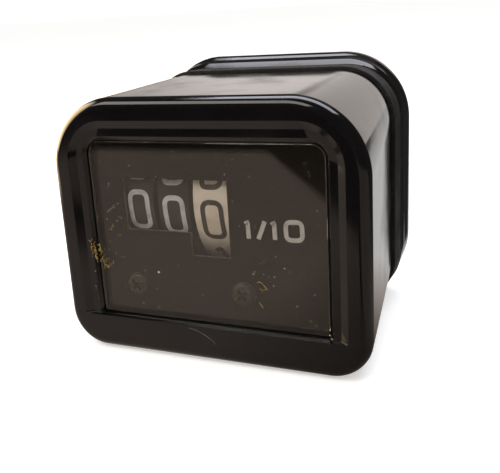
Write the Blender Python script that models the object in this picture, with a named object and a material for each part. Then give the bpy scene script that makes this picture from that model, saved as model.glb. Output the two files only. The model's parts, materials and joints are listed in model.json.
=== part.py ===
# Motorcycle trip odometer: a moulded black case with a stepped window, three number wheels
# on one reset shaft, a two-stage worm drive from the cable, and a screwed-on rear base.
# Metres, +Z up, +X to the reader's right, +Y to the back. The origin is on the flat back
# face, level with the middle of the front bezel.

import math

import bmesh
import bpy
from mathutils import Vector

MM = 0.001

# Clearances
GAP = 0.3 * MM
RUNNING_GAP = 0.3 * MM
OVERCUT = 1.0 * MM

# Case, front face and taper
BEZEL_WIDTH = 70.0 * MM
BEZEL_HEIGHT = 55.7 * MM
BEZEL_TOP_RADIUS = 15.4 * MM
BEZEL_BOTTOM_RADIUS = 8.5 * MM
EDGE_DEPTH = 2.5 * MM
EDGE_INSET = 2.1 * MM
SIDE_TAPER = 4.45 * MM
TOP_RISE = 1.95 * MM
REAR_TOP_RADIUS = 11.8 * MM
REAR_BOTTOM_RADIUS = 10.0 * MM
REAR_WIDTH = BEZEL_WIDTH - 2 * SIDE_TAPER
REAR_TOP = BEZEL_HEIGHT / 2 + TOP_RISE
CASE_WALL = 2.6 * MM
SPIGOT_INSET = 1.9 * MM
SPIGOT_WALL = 1.9 * MM

# Window in the bezel: flat land round it, chamfer, ledge and aperture
LAND_SIDE = 4.4 * MM
LAND_TOP = 4.65 * MM
LAND_BOTTOM = 7.85 * MM
OPENING_HALF = BEZEL_WIDTH / 2 - LAND_SIDE
OPENING_TOP = BEZEL_HEIGHT / 2 - LAND_TOP
OPENING_BOTTOM = LAND_BOTTOM - BEZEL_HEIGHT / 2
OPENING_RADIUS = 9.0 * MM
CHAMFER_WIDTH = 1.65 * MM
LEDGE_DEPTH = 1.0 * MM
LEDGE_WIDTH = 1.65 * MM
LIP_SIDE = 0.6 * MM
LIP_TOP = 0.9 * MM
LIP_DEPTH = 0.7 * MM
APERTURE_HALF = OPENING_HALF - CHAMFER_WIDTH - LEDGE_WIDTH - LIP_SIDE
APERTURE_TOP = OPENING_TOP - CHAMFER_WIDTH - LEDGE_WIDTH - LIP_TOP
APERTURE_DEPTH = LEDGE_DEPTH + LIP_DEPTH
APERTURE_RADIUS = 3.2 * MM
APERTURE_WALL = 1.0 * MM
FRONT_WALL_BACK = APERTURE_DEPTH + APERTURE_WALL
SILL_DROP = 0.3 * MM
SHARP_RADIUS = 0.5 * MM

# Lens, gasket and dial
LENS_FLANGE = 2.4 * MM
LENS_FLANGE_THICKNESS = 1.2 * MM
GASKET_OVERHANG = 0.9 * MM
GASKET_WIDTH = 2.2 * MM
GASKET_THICKNESS = 1.7 * MM
GASKET_DEPTH = FRONT_WALL_BACK + 2 * GAP + LENS_FLANGE_THICKNESS
DIAL_DEPTH = GASKET_DEPTH + GASKET_THICKNESS + GAP
DIAL_THICKNESS = 0.6 * MM
DIAL_SIDE_MARGIN = 1.5 * MM
DIAL_TOP_MARGIN = 1.8 * MM
DIAL_BOTTOM_MARGIN = 1.1 * MM
DIAL_RADIUS = 7.0 * MM
DIAL_SCREW_LEFT_X = -18.8 * MM
DIAL_SCREW_RIGHT_X = 6.8 * MM
DIAL_SCREW_Z = -13.6 * MM

# Carry gearing inside the number wheels
CARRY_MODULE = 1.3 * MM
RING_TEETH = 20
PINION_TEETH = 6
PINION_TIP = (PINION_TEETH / 2 + 0.85) * CARRY_MODULE
CARRY_CENTRES = CARRY_MODULE * (RING_TEETH - PINION_TEETH) / 2
PINION_FACE = 1.9 * MM
PINION_JOURNAL_RADIUS = 1.9 * MM
PINION_LOCKING_GAP = 0.395 * MM
LOCKING_RING_RADIUS = CARRY_CENTRES + PINION_TIP + PINION_LOCKING_GAP
LOCKING_NOTCH_RADIUS = LOCKING_RING_RADIUS + 1.4 * MM

# Number wheels on the reset shaft
WHEEL_RIM = 2.1 * MM
WHEEL_RADIUS = LOCKING_NOTCH_RADIUS + WHEEL_RIM
WHEEL_WIDTH = 7.55 * MM
WHEEL_SPACE = 1.0 * MM
TENTHS_LEFT = -4.66 * MM
TENTHS_WIDTH = 8.6 * MM
TENTHS_RIGHT = TENTHS_LEFT + TENTHS_WIDTH
TENS_LEFT = TENTHS_LEFT - 2 * (WHEEL_WIDTH + WHEEL_SPACE)
HUB_RADIUS = 3.4 * MM
RESET_SHAFT_RADIUS = 2.0 * MM
WHEEL_CAVITY = 2.5 * MM
WHEEL_CHAMFER = 0.25 * MM
WHEEL_FRONT_GAP = 0.4 * MM
AXIS_DEPTH = DIAL_DEPTH + DIAL_THICKNESS + WHEEL_FRONT_GAP + WHEEL_RADIUS
AXIS_Z = 4.9 * MM

# Stepped window in the dial, a little inside the faces of the wheels behind it
WINDOW_LEFT = TENS_LEFT + 0.86 * MM
WINDOW_STEP = TENTHS_LEFT - 0.54 * MM
WINDOW_RIGHT = TENTHS_RIGHT - 0.04 * MM
WINDOW_TOP = 10.3 * MM
WINDOW_SHORT_BOTTOM = -1.2 * MM
WINDOW_LONG_BOTTOM = -6.2 * MM

# Pinion carriers and their anchor rod
CARRIER_THICKNESS = 0.4 * MM
CARRIER_HALF_WIDTH = 4.6 * MM
ANCHOR_ROD_RADIUS = 1.2 * MM
ANCHOR_ROD_CLEARANCE = 1.2 * MM
ANCHOR_ROD_OVERHANG = 1.2 * MM
ANCHOR_ROD_DROP = WHEEL_RADIUS + ANCHOR_ROD_CLEARANCE + ANCHOR_ROD_RADIUS

# Friction clutch and drive gear
CLUTCH_RADIUS = 6.0 * MM
CLUTCH_SHEET = 0.35 * MM
CLUTCH_DISH = 0.1 * MM
GEAR_TEETH = 36
GEAR_MODULE = 0.5 * MM
GEAR_FACE = 3.0 * MM
GEAR_HUB_LEFT = TENTHS_RIGHT + 2 * GAP + CLUTCH_SHEET + CLUTCH_DISH
GEAR_X = GEAR_HUB_LEFT + 2.81 * MM
GEAR_HUB_RIGHT = GEAR_X + 3.0 * MM

# Worm drive
WORM_PITCH_RADIUS = 2.5 * MM
WORM_LENGTH = 8.0 * MM
WORM_END_SPACE = 3.5 * MM
UPRIGHT_RADIUS = 1.3 * MM
UPRIGHT_DEPTH = AXIS_DEPTH + GEAR_MODULE * GEAR_TEETH / 2 + WORM_PITCH_RADIUS
WORM_WHEEL_TEETH = 28
WORM_WHEEL_MODULE = 0.6 * MM
WORM_WHEEL_TIP = WORM_WHEEL_MODULE * (WORM_WHEEL_TEETH / 2 + 0.8)
WORM_WHEEL_FACE = 2.4 * MM
WORM_WHEEL_HUB = 4.0 * MM
SPINDLE_WORM_LENGTH = 7.0 * MM
SPINDLE_BELOW_WHEEL = 1.9 * MM
SPINDLE_X = GEAR_X - WORM_WHEEL_MODULE * WORM_WHEEL_TEETH / 2 - WORM_PITCH_RADIUS
SPINDLE_Z = AXIS_Z - WHEEL_RADIUS - SPINDLE_BELOW_WHEEL
SPINDLE_JOURNAL_RADIUS = 3.0 * MM
SPINDLE_SOCKET = 2.8 * MM
SPINDLE_SOCKET_DEPTH = 8.0 * MM
SPINDLE_NECK = 1.0 * MM
SPINDLE_TAIL = 1.2 * MM

# Depths of the rear base, seal and spigot, from the worm wheel back
SHEET = 1.0 * MM
BRACKET_SHEET = 0.8 * MM
WORM_WHEEL_SPACE = 0.52 * MM
BASE_FLOOR = 3.0 * MM
BASE_HEIGHT = 7.7 * MM
SEAL_WIDTH = 5.7 * MM
DEPTH = UPRIGHT_DEPTH + WORM_WHEEL_TIP + WORM_WHEEL_SPACE + BRACKET_SHEET + GAP + BASE_FLOOR
SPIGOT_END = DEPTH - BASE_HEIGHT - GAP
BODY_END = SPIGOT_END - SEAL_WIDTH - GAP
SHOULDER_DEPTH = DEPTH - 6.0 * MM
RIM_DEPTH = DEPTH - 2.1 * MM

# Counter frame and gear bracket, folded from sheet
PLATE_SPACE = 1.44 * MM
LEFT_PLATE_X = TENS_LEFT - PLATE_SPACE - SHEET
RIGHT_PLATE_X = GEAR_HUB_RIGHT + 2 * GAP
PLATE_TOP = AXIS_Z + 6.6 * MM
PLATE_BOTTOM = SPINDLE_Z + WORM_WHEEL_HUB / 2 + 1.0 * MM
PLATE_LEAD = 1.1 * MM
PLATE_BACK_SPACE = 9.0 * MM
STRIP_TOP = DIAL_SCREW_Z + 4.0 * MM
STRIP_BOTTOM = DIAL_SCREW_Z - 5.0 * MM
STRIP_DEPTH = DIAL_DEPTH + DIAL_THICKNESS + GAP
EAR_MARGIN = 1.0 * MM
FOOT_LENGTH = 6.4 * MM
FOOT_HEIGHT = 9.8 * MM
FOOT_TOP = PLATE_BOTTOM + FOOT_HEIGHT
BRACKET_HALF_WIDTH = 3.1 * MM
BRACKET_TOP = AXIS_Z + WORM_LENGTH / 2 + WORM_END_SPACE + SHEET
BRACKET_BOTTOM = SPINDLE_Z - WORM_WHEEL_HUB / 2 - 1.9 * MM - SHEET
BRACKET_REACH = 9.0 * MM
BRACKET_HOLE_Z = -4.0 * MM

# Cable collar
COLLAR_RADIUS = 6.0 * MM
COLLAR_LENGTH = 9.0 * MM
COLLAR_MOUTH_RADIUS = 4.5 * MM
COLLAR_FLANGE_RADIUS = COLLAR_RADIUS + 0.9 * MM
COLLAR_FLANGE = 1.4 * MM
COLLAR_CHAMFER = 0.6 * MM
COLLAR_SPACE = 0.5 * MM
COLLAR_NUT_FLATS = COLLAR_RADIUS * 2 + 2.0 * MM
COLLAR_NUT_HEIGHT = 3.5 * MM

# Outline of the rear base, seal and rim
SEAL_PROUD = 0.7 * MM
SEAL_ROUNDING = 0.3 * MM
BASE_WALL = 2.5 * MM
SEAT_RECESS = 0.5 * MM
REAR_BOTTOM = SPINDLE_Z - COLLAR_FLANGE_RADIUS - COLLAR_SPACE - BASE_WALL + SEAL_PROUD
RIM_LIP_SIDE = 0.65 * MM
RIM_LIP_TOP = 2.7 * MM
RIM_LIP_BOTTOM = 0.7 * MM
RIM_RADIUS = 15.4 * MM
BOSS_RADIUS = 2.6 * MM
BOSS_BITE = 0.6 * MM
BOSS_LENGTH = 6.0 * MM
PILOT_FLOOR = 1.5 * MM

# Fasteners
SCREW_RADIUS = 1.5 * MM
SCREW_HEAD_RADIUS = 2.62 * MM
SCREW_HEAD_HEIGHT = 1.5 * MM
DIAL_SCREW_LENGTH = 5.5 * MM
FRAME_SCREW_LENGTH = 4.2 * MM
COUNTERBORE = 2.0 * MM
STUD_X = 20.0 * MM
STUD_Z = 9.0 * MM
STUD_RADIUS = 2.5 * MM
STUD_LENGTH = 15.0 * MM
STUD_HEAD_RADIUS = 4.6 * MM
STUD_HEAD_HEIGHT = 1.4 * MM
STUD_CHAMFER = 0.6 * MM
RUBBER_RADIUS = 7.0 * MM
RUBBER_LENGTH = 5.0 * MM
RUBBER_WAIST = 1.2 * MM
RUBBER_LIP = 1.4 * MM
WASHER_RADIUS = 6.0 * MM
WASHER_THICKNESS = 1.0 * MM
NUT_FLATS = 8.0 * MM
NUT_HEIGHT = 4.0 * MM

# Reset knob, grommet and clip
KNOB_RADIUS = 7.0 * MM
KNOB_LENGTH = 9.0 * MM
KNOB_CAP = 2.2 * MM
KNOB_STANDOFF = 0.6 * MM
KNOB_ROUNDING = 1.6 * MM
KNOB_FLUTES = 12
FLUTE_DEPTH = 0.35 * MM
GROMMET_RADIUS = 4.0 * MM
GROMMET_FLANGE_RADIUS = GROMMET_RADIUS + 1.2 * MM
GROMMET_FLANGE = 0.8 * MM
GROMMET_LENGTH = 4.6 * MM
CLIP_RADIUS = 3.8 * MM
CLIP_THICKNESS = 0.6 * MM
CLIP_GROOVE = 0.5 * MM
CLIP_DEPTH = RIGHT_PLATE_X + SHEET + GAP

# Facets
CORNER_STEPS = 6
ROUND_STEPS = 24
SMALL_STEPS = 12
WORM_STEPS = 12
PLAIN_WHEEL_STEPS = 40


def clear_scene():
    """Remove whatever the new scene holds."""
    for item in list(bpy.data.objects):
        bpy.data.objects.remove(item, do_unlink=True)


def material(name, hex_colour, roughness, metallic=0.0, transmission=0.0):
    """Principled material from an sRGB hex colour."""
    result = bpy.data.materials.new(name)
    result.use_nodes = True
    shader = result.node_tree.nodes["Principled BSDF"]
    channels = [int(hex_colour[i:i + 2], 16) / 255 for i in (0, 2, 4)]
    linear = [c / 12.92 if c <= 0.04045 else ((c + 0.055) / 1.055) ** 2.4 for c in channels]
    shader.inputs["Base Color"].default_value = (*linear, 1.0)
    shader.inputs["Roughness"].default_value = roughness
    shader.inputs["Metallic"].default_value = metallic
    shader.inputs["Transmission Weight"].default_value = transmission
    return result


def plane(depth):
    """Y of a plane that lies the given depth behind the front face."""
    return depth - DEPTH


def add_object(name, bm, finish, location=(0, 0, 0), rotation=(0, 0, 0), smooth=True):
    """Turn a bmesh into a named object, placed by its location and rotation."""
    bmesh.ops.remove_doubles(bm, verts=bm.verts, dist=1e-7)
    bmesh.ops.recalc_face_normals(bm, faces=bm.faces)
    mesh = bpy.data.meshes.new(name)
    bm.to_mesh(mesh)
    bm.free()
    mesh.materials.append(finish)
    if smooth:
        mesh.shade_smooth()
        mesh.set_sharp_from_angle(angle=math.radians(32))
    item = bpy.data.objects.new(name, mesh)
    bpy.context.collection.objects.link(item)
    item.location = location
    item.rotation_euler = rotation
    return item


def combine(target, tool, operation):
    """Boolean of a hidden tool body with a target."""
    tool.hide_render = True
    tool.display_type = "WIRE"
    modifier = target.modifiers.new(operation.title(), "BOOLEAN")
    modifier.operation = operation
    modifier.object = tool
    modifier.solver = "EXACT"


def section(half_width, top, bottom, top_radius, bottom_radius, y, steps=CORNER_STEPS):
    """Rounded rectangle in a plane of constant y, anticlockwise seen from the front."""
    corners = (
        (half_width - top_radius, top - top_radius, top_radius, 0),
        (top_radius - half_width, top - top_radius, top_radius, 90),
        (bottom_radius - half_width, bottom + bottom_radius, bottom_radius, 180),
        (half_width - bottom_radius, bottom + bottom_radius, bottom_radius, 270),
    )
    points = []
    for centre_x, centre_z, radius, start in corners:
        for i in range(steps + 1):
            angle = math.radians(start + 90 * i / steps)
            across = radius * math.cos(angle)
            up = radius * math.sin(angle)
            points.append(Vector((centre_x + across, y, centre_z + up)))
    return points


def loft(rings, closed):
    """Skin equal rings in order; closed joins the last ring to the first, else ends are capped."""
    bm = bmesh.new()
    rows = [[bm.verts.new(point) for point in ring] for ring in rings]
    count = len(rings[0])
    pairs = list(zip(rows, rows[1:]))
    if closed:
        pairs.append((rows[-1], rows[0]))
    for first, second in pairs:
        for j in range(count):
            k = (j + 1) % count
            bm.faces.new((first[j], first[k], second[k], second[j]))
    if not closed:
        bm.faces.new(rows[0])
        bm.faces.new(rows[-1])
    return bm


def prism(outline, low, high):
    """Closed outline in local XY, extruded along local Z from low to high."""
    return loft([[Vector((x, y, z)) for x, y in outline] for z in (low, high)], closed=False)


def turned(profile, steps=ROUND_STEPS):
    """Spin a list of (radius, height) points about local Z; the ends lie on the axis or meet."""
    bm = bmesh.new()
    points = [bm.verts.new((radius, 0, height)) for radius, height in profile]
    on_axis = profile[0][0] == 0 and profile[-1][0] == 0
    pairs = list(zip(points, points[1:]))
    if not on_axis:
        pairs.append((points[-1], points[0]))
    edges = [bm.edges.new(pair) for pair in pairs]
    bmesh.ops.spin(
        bm, geom=points + edges, cent=(0, 0, 0), axis=(0, 0, 1),
        angle=2 * math.pi, steps=steps, use_merge=True,
    )
    bmesh.ops.remove_doubles(bm, verts=bm.verts, dist=1e-7)
    bmesh.ops.dissolve_degenerate(bm, dist=1e-8, edges=bm.edges)
    return bm


def rod(radius, low, high, steps=ROUND_STEPS):
    """Plain round bar along local Z."""
    return turned([(0, low), (radius, low), (radius, high), (0, high)], steps)


def box(size_low, size_high):
    """Rectangular block between two corners."""
    (x0, y0, z0), (x1, y1, z1) = size_low, size_high
    return prism([(x0, y0), (x1, y0), (x1, y1), (x0, y1)], z0, z1)


ALONG_X = (0, math.pi / 2, 0)
ALONG_Y = (-math.pi / 2, 0, 0)


# Case

def case_section(depth, inset=0.0):
    """Outer section of the tapered body at a depth, drawn in by an inset."""
    share = (depth - EDGE_DEPTH) / (BODY_END - EDGE_DEPTH)
    share = min(max(share, 0.0), 1.0)

    def between(front, rear):
        return front + (rear - front) * share

    half = between(BEZEL_WIDTH, REAR_WIDTH) / 2 - inset
    top = between(BEZEL_HEIGHT / 2, REAR_TOP) - inset
    bottom = between(-BEZEL_HEIGHT / 2, REAR_BOTTOM) + inset
    top_radius = between(BEZEL_TOP_RADIUS, REAR_TOP_RADIUS) - inset
    bottom_radius = between(BEZEL_BOTTOM_RADIUS, REAR_BOTTOM_RADIUS) - inset
    return section(half, top, bottom, top_radius, bottom_radius, plane(depth))


def at_depth(ring, depth):
    """The same outline moved to another depth."""
    return [Vector((p.x, plane(depth), p.z)) for p in ring]


def wall_x(depth):
    """Half width of the tapered body at a depth: the outside of its side wall."""
    return max(point.x for point in case_section(depth))


def front_edge_rings(steps=4):
    """Rounded outer edge, from the flat front land out to the widest line of the bezel."""
    rings = []
    for i in range(steps + 1):
        angle = math.radians(90 * i / steps)
        inset = EDGE_INSET * (1 - math.sin(angle))
        depth = EDGE_DEPTH * (1 - math.cos(angle))
        rings.append(at_depth(case_section(EDGE_DEPTH, inset), depth))
    return rings


def window_section(inset, depth, drop=0.0):
    """Bezel opening: the top and sides step in by an inset, the sill only drops."""
    radius = max(OPENING_RADIUS - inset * 1.5, APERTURE_RADIUS)
    return section(
        OPENING_HALF - inset, OPENING_TOP - inset, OPENING_BOTTOM + drop, radius,
        SHARP_RADIUS, plane(depth),
    )


def aperture(clearance, depth):
    """Outline of the lens aperture, drawn in by a clearance."""
    return section(
        APERTURE_HALF - clearance, APERTURE_TOP - clearance,
        OPENING_BOTTOM + SILL_DROP + clearance, APERTURE_RADIUS - clearance,
        SHARP_RADIUS - clearance, plane(depth),
    )


def boss_places():
    """Centres of the four screw bosses, tucked into the corners of the spigot."""
    inset = SPIGOT_INSET + SPIGOT_WALL
    places = []
    for sign in (-1, 1):
        ends = ((REAR_TOP, REAR_TOP_RADIUS, 1), (REAR_BOTTOM, REAR_BOTTOM_RADIUS, -1))
        for edge, radius, up in ends:
            inner = radius - inset
            reach = (inner - BOSS_RADIUS + BOSS_BITE) * math.sqrt(0.5)
            centre_x = REAR_WIDTH / 2 - inset - inner + reach
            centre_z = edge - up * (inset + inner) + up * reach
            places.append((sign * centre_x, centre_z))
    return places


def build_case(finish):
    """One moulding: stepped bezel, tapered body, rear spigot and four screw bosses."""
    ledge_inset = CHAMFER_WIDTH + LEDGE_WIDTH
    rings = front_edge_rings()
    rings.append(case_section(BODY_END))
    rings.append(case_section(BODY_END, SPIGOT_INSET))
    rings.append(at_depth(case_section(BODY_END, SPIGOT_INSET), SPIGOT_END))
    inner = case_section(BODY_END, SPIGOT_INSET + SPIGOT_WALL)
    rings.append(at_depth(inner, SPIGOT_END))
    rings.append(inner)
    rings.append(case_section(BODY_END - CASE_WALL, CASE_WALL))
    rings.append(at_depth(case_section(EDGE_DEPTH, CASE_WALL), FRONT_WALL_BACK))
    rings.append(aperture(0.0, FRONT_WALL_BACK))
    rings.append(aperture(0.0, APERTURE_DEPTH))
    rings.append(window_section(ledge_inset, LEDGE_DEPTH, SILL_DROP * 0.6))
    rings.append(window_section(CHAMFER_WIDTH, LEDGE_DEPTH, SILL_DROP * 0.5))
    rings.append(window_section(0.0, 0.0))
    case = add_object("case", loft(rings, closed=True), finish)
    for number, (x, z) in enumerate(boss_places(), 1):
        boss = add_object(
            f"case_boss_{number}",
            rod(BOSS_RADIUS, SPIGOT_END - BOSS_LENGTH, SPIGOT_END, SMALL_STEPS),
            finish, (x, plane(0), z), ALONG_Y,
        )
        combine(case, boss, "UNION")
    pilot_start = SPIGOT_END - BOSS_LENGTH + PILOT_FLOOR
    for number, (x, z) in enumerate(boss_places(), 1):
        pilot = add_object(
            f"case_pilot_{number}",
            rod(SCREW_RADIUS + GAP, pilot_start, SPIGOT_END + OVERCUT, SMALL_STEPS),
            finish, (x, plane(0), z), ALONG_Y,
        )
        combine(case, pilot, "DIFFERENCE")
    wall = wall_x(AXIS_DEPTH)
    shaft_hole = add_object(
        "case_shaft_hole",
        rod(GROMMET_RADIUS + GAP, -wall - CASE_WALL, -wall + 2 * CASE_WALL),
        finish, (0, plane(AXIS_DEPTH), AXIS_Z), ALONG_X,
    )
    combine(case, shaft_hole, "DIFFERENCE")
    return case


# Lens, gasket and dial

def build_lens(finish):
    """Clear moulding: a boss that fills the aperture and a flange behind the bezel."""
    flange_front = FRONT_WALL_BACK + GAP
    flange_back = flange_front + LENS_FLANGE_THICKNESS
    rings = [aperture(GAP, APERTURE_DEPTH), aperture(GAP, flange_front)]
    rings.append(aperture(-LENS_FLANGE, flange_front))
    rings.append(aperture(-LENS_FLANGE, flange_back))
    return add_object("lens", loft(rings, closed=False), finish)


def build_lens_gasket(finish):
    """Square-cut rubber ring that spaces the lens flange from the dial."""
    outer = -LENS_FLANGE - GASKET_OVERHANG
    inner = outer + GASKET_WIDTH
    back = GASKET_DEPTH + GASKET_THICKNESS
    corners = ((outer, GASKET_DEPTH), (outer, back), (inner, back), (inner, GASKET_DEPTH))
    rings = [aperture(clearance, depth) for clearance, depth in corners]
    return add_object("lens_gasket", loft(rings, closed=True), finish)


def build_dial_plate(finish):
    """Sheet dial with a stepped window over the wheels and two screw holes."""
    half = APERTURE_HALF + LENS_FLANGE + DIAL_SIDE_MARGIN
    top = APERTURE_TOP + LENS_FLANGE + DIAL_TOP_MARGIN
    bottom = OPENING_BOTTOM + SILL_DROP - LENS_FLANGE - DIAL_BOTTOM_MARGIN
    rings = [
        section(half, top, bottom, DIAL_RADIUS, DIAL_RADIUS, plane(depth))
        for depth in (DIAL_DEPTH, DIAL_DEPTH + DIAL_THICKNESS)
    ]
    dial = add_object("dial_plate", loft(rings, closed=False), finish, smooth=False)
    low = -OVERCUT
    high = DIAL_THICKNESS + OVERCUT
    outline = [
        (WINDOW_LEFT, -WINDOW_TOP), (WINDOW_RIGHT, -WINDOW_TOP),
        (WINDOW_RIGHT, -WINDOW_LONG_BOTTOM), (WINDOW_STEP, -WINDOW_LONG_BOTTOM),
        (WINDOW_STEP, -WINDOW_SHORT_BOTTOM), (WINDOW_LEFT, -WINDOW_SHORT_BOTTOM),
    ]
    window = add_object(
        "dial_window", prism(outline, low, high), finish, (0, plane(DIAL_DEPTH), 0), ALONG_Y,
    )
    combine(dial, window, "DIFFERENCE")
    for side, x in (("left", DIAL_SCREW_LEFT_X), ("right", DIAL_SCREW_RIGHT_X)):
        hole = add_object(
            f"dial_hole_{side}", rod(SCREW_RADIUS + GAP, low, high, SMALL_STEPS), finish,
            (x, plane(DIAL_DEPTH), DIAL_SCREW_Z), ALONG_Y,
        )
        combine(dial, hole, "DIFFERENCE")
    return dial


def screw(name, finish, place, length, towards_front):
    """Pan-head screw along Y; the shank starts at the underside of its head."""
    dome = SCREW_HEAD_HEIGHT
    profile = [
        (0, -dome), (SCREW_HEAD_RADIUS * 0.75, -dome), (SCREW_HEAD_RADIUS, -dome * 0.4),
        (SCREW_HEAD_RADIUS, 0), (SCREW_RADIUS, 0), (SCREW_RADIUS, length), (0, length),
    ]
    turn = math.pi / 2 if towards_front else -math.pi / 2
    return add_object(name, turned(profile, SMALL_STEPS), finish, place, (turn, 0, 0))


def build_dial_screws(finish):
    """Two screws hold the dial to the strip of the counter frame."""
    for side, x in (("left", DIAL_SCREW_LEFT_X), ("right", DIAL_SCREW_RIGHT_X)):
        screw(
            f"dial_screw_{side}", finish, (x, plane(DIAL_DEPTH - GAP), DIAL_SCREW_Z),
            DIAL_SCREW_LENGTH, towards_front=False,
        )


# Number wheels and carry pinions

def ring_angles():
    """Angles round a wheel, four to each tooth: tip start, tip end, root start, root end."""
    pitch = 2 * math.pi / RING_TEETH
    shares = (-0.13, 0.13, 0.30, 0.70)
    return [(tooth + share) * pitch for tooth in range(RING_TEETH) for share in shares]


def even_angles():
    """Even angles round a wheel that has no teeth, with the carry notch's own at the start."""
    notch = [angle for index, angle in enumerate(ring_angles()) if index < 5]
    last = notch[-1]
    spare = 2 * math.pi + notch[0] - last
    return notch + [last + spare * i / PLAIN_WHEEL_STEPS for i in range(1, PLAIN_WHEEL_STEPS)]


def toothed_radius(index):
    """Radius of the internal ring of teeth at one of the ring angles."""
    pitch_radius = CARRY_MODULE * RING_TEETH / 2
    if index % 4 in (0, 1):
        return pitch_radius - 0.75 * CARRY_MODULE
    return pitch_radius + 1.15 * CARRY_MODULE


def notched_radius(index):
    """Radius of the locking ring at one of the ring angles: plain but for one carry notch."""
    return LOCKING_NOTCH_RADIUS if index in (2, 3) else LOCKING_RING_RADIUS


def build_wheel(name, left, width, driven, finish):
    """Number wheel: rim, web and hub, with a locking ring on its left and, where a pinion
    drives it, an internal ring of teeth on its right."""
    angles = ring_angles() if driven else even_angles()
    right_radius = toothed_radius if driven else (lambda index: LOCKING_RING_RADIUS)
    edge_radius = WHEEL_RADIUS - WHEEL_CHAMFER
    lines = [
        (notched_radius, WHEEL_CAVITY), (notched_radius, 0), (lambda index: edge_radius, 0),
        (lambda index: WHEEL_RADIUS, WHEEL_CHAMFER),
        (lambda index: WHEEL_RADIUS, width - WHEEL_CHAMFER), (lambda index: edge_radius, width),
        (right_radius, width), (right_radius, width - WHEEL_CAVITY),
    ]
    rings = []
    for radius_at, height in lines:
        ring = []
        for index, angle in enumerate(angles):
            radius = radius_at(index)
            ring.append(Vector((radius * math.cos(angle), radius * math.sin(angle), height)))
        rings.append(ring)
    place = (left, plane(AXIS_DEPTH), AXIS_Z)
    wheel = add_object(name, loft(rings, closed=False), finish, place, ALONG_X)
    hub = add_object(f"{name}_hub", rod(HUB_RADIUS, 0, width), finish, place, ALONG_X)
    combine(wheel, hub, "UNION")
    bore = add_object(
        f"{name}_bore",
        rod(RESET_SHAFT_RADIUS + RUNNING_GAP, -OVERCUT, width + OVERCUT, SMALL_STEPS),
        finish, place, ALONG_X,
    )
    combine(wheel, bore, "DIFFERENCE")
    return wheel


def wheel_left(place):
    """Left face of a wheel; place 0 is the tenths wheel, 1 the ones and 2 the tens."""
    return TENTHS_LEFT - place * (WHEEL_WIDTH + WHEEL_SPACE)


def pinion_centre_z():
    """Height of the pinion axis: inside the ring of teeth, straight below the shaft."""
    return AXIS_Z - CARRY_CENTRES


def pinion_outline():
    """Six slim teeth; the space that faces down takes a tooth of the ring."""
    middle = CARRY_MODULE * PINION_TEETH / 2
    root = middle - 0.95 * CARRY_MODULE
    flank = (
        (-0.30, root), (-0.19, middle), (-0.07, PINION_TIP),
        (0.07, PINION_TIP), (0.19, middle), (0.30, root),
    )
    outline = []
    pitch = 2 * math.pi / PINION_TEETH
    for tooth in range(PINION_TEETH):
        for share, radius in flank:
            angle = (tooth + 0.5 + share) * pitch
            outline.append((radius * math.cos(angle), radius * math.sin(angle)))
    return outline


def build_carry_pinion(name, place, finish):
    """Double pinion on one journal: its left teeth mesh in the driven wheel and its right
    teeth run inside the locking ring of the wheel that carries into it."""
    left_face = wheel_left(place - 1)
    half = WHEEL_SPACE / 2
    pinion = add_object(
        name, prism(pinion_outline(), -half - PINION_FACE, -half), finish,
        (left_face - half, plane(AXIS_DEPTH), pinion_centre_z()), ALONG_X, smooth=False,
    )
    reach = half + PINION_FACE / 2
    journal = add_object(
        f"{name}_journal", rod(PINION_JOURNAL_RADIUS, -reach, reach, SMALL_STEPS), finish,
        pinion.location, ALONG_X,
    )
    combine(pinion, journal, "UNION")
    right_teeth = add_object(
        f"{name}_right_teeth", prism(pinion_outline(), half, half + PINION_FACE), finish,
        pinion.location, ALONG_X,
    )
    combine(pinion, right_teeth, "UNION")
    return pinion


def build_carrier(name, place, finish):
    """Thin plate between two wheels, slotted to take the pinion's journal and hung on the
    reset shaft and the anchor rod."""
    middle = wheel_left(place - 1) - WHEEL_SPACE / 2
    top = 2.2 * RESET_SHAFT_RADIUS
    bottom = -ANCHOR_ROD_DROP - 2 * ANCHOR_ROD_RADIUS
    half = CARRIER_HALF_WIDTH
    outline = [(-top, -half), (-bottom, -half), (-bottom, half), (-top, half)]
    thickness = CARRIER_THICKNESS / 2
    plate = add_object(
        name, prism(outline, -thickness, thickness), finish, (middle, plane(AXIS_DEPTH), AXIS_Z),
        ALONG_X, smooth=False,
    )
    holes = (
        ("shaft_hole", RESET_SHAFT_RADIUS + RUNNING_GAP, 0.0),
        ("journal_hole", PINION_JOURNAL_RADIUS + RUNNING_GAP, AXIS_Z - pinion_centre_z()),
        ("anchor_hole", ANCHOR_ROD_RADIUS + GAP, ANCHOR_ROD_DROP),
    )
    for label, radius, drop in holes:
        hole = add_object(
            f"{name}_{label}", rod(radius, -OVERCUT, OVERCUT, SMALL_STEPS), finish,
            (middle, plane(AXIS_DEPTH), AXIS_Z - drop), ALONG_X,
        )
        combine(plate, hole, "DIFFERENCE")
    slot_half = PINION_JOURNAL_RADIUS * 0.9
    slot = add_object(
        f"{name}_slot", box((-OVERCUT, 0, -slot_half), (OVERCUT, 2 * half, slot_half)), finish,
        (middle, plane(AXIS_DEPTH), pinion_centre_z()),
    )
    combine(plate, slot, "DIFFERENCE")
    return plate


# Reset shaft

def grommet_face():
    """X of the grommet's outer face. Its flange clears the side wall all round, although the
    wall leans, because it starts from the wall's widest line under the flange."""
    return -wall_x(AXIS_DEPTH - GROMMET_FLANGE_RADIUS) - GAP - GROMMET_FLANGE


def knob_left():
    """X of the knob's outer end, clear of the grommet."""
    return grommet_face() - KNOB_STANDOFF - KNOB_LENGTH


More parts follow.
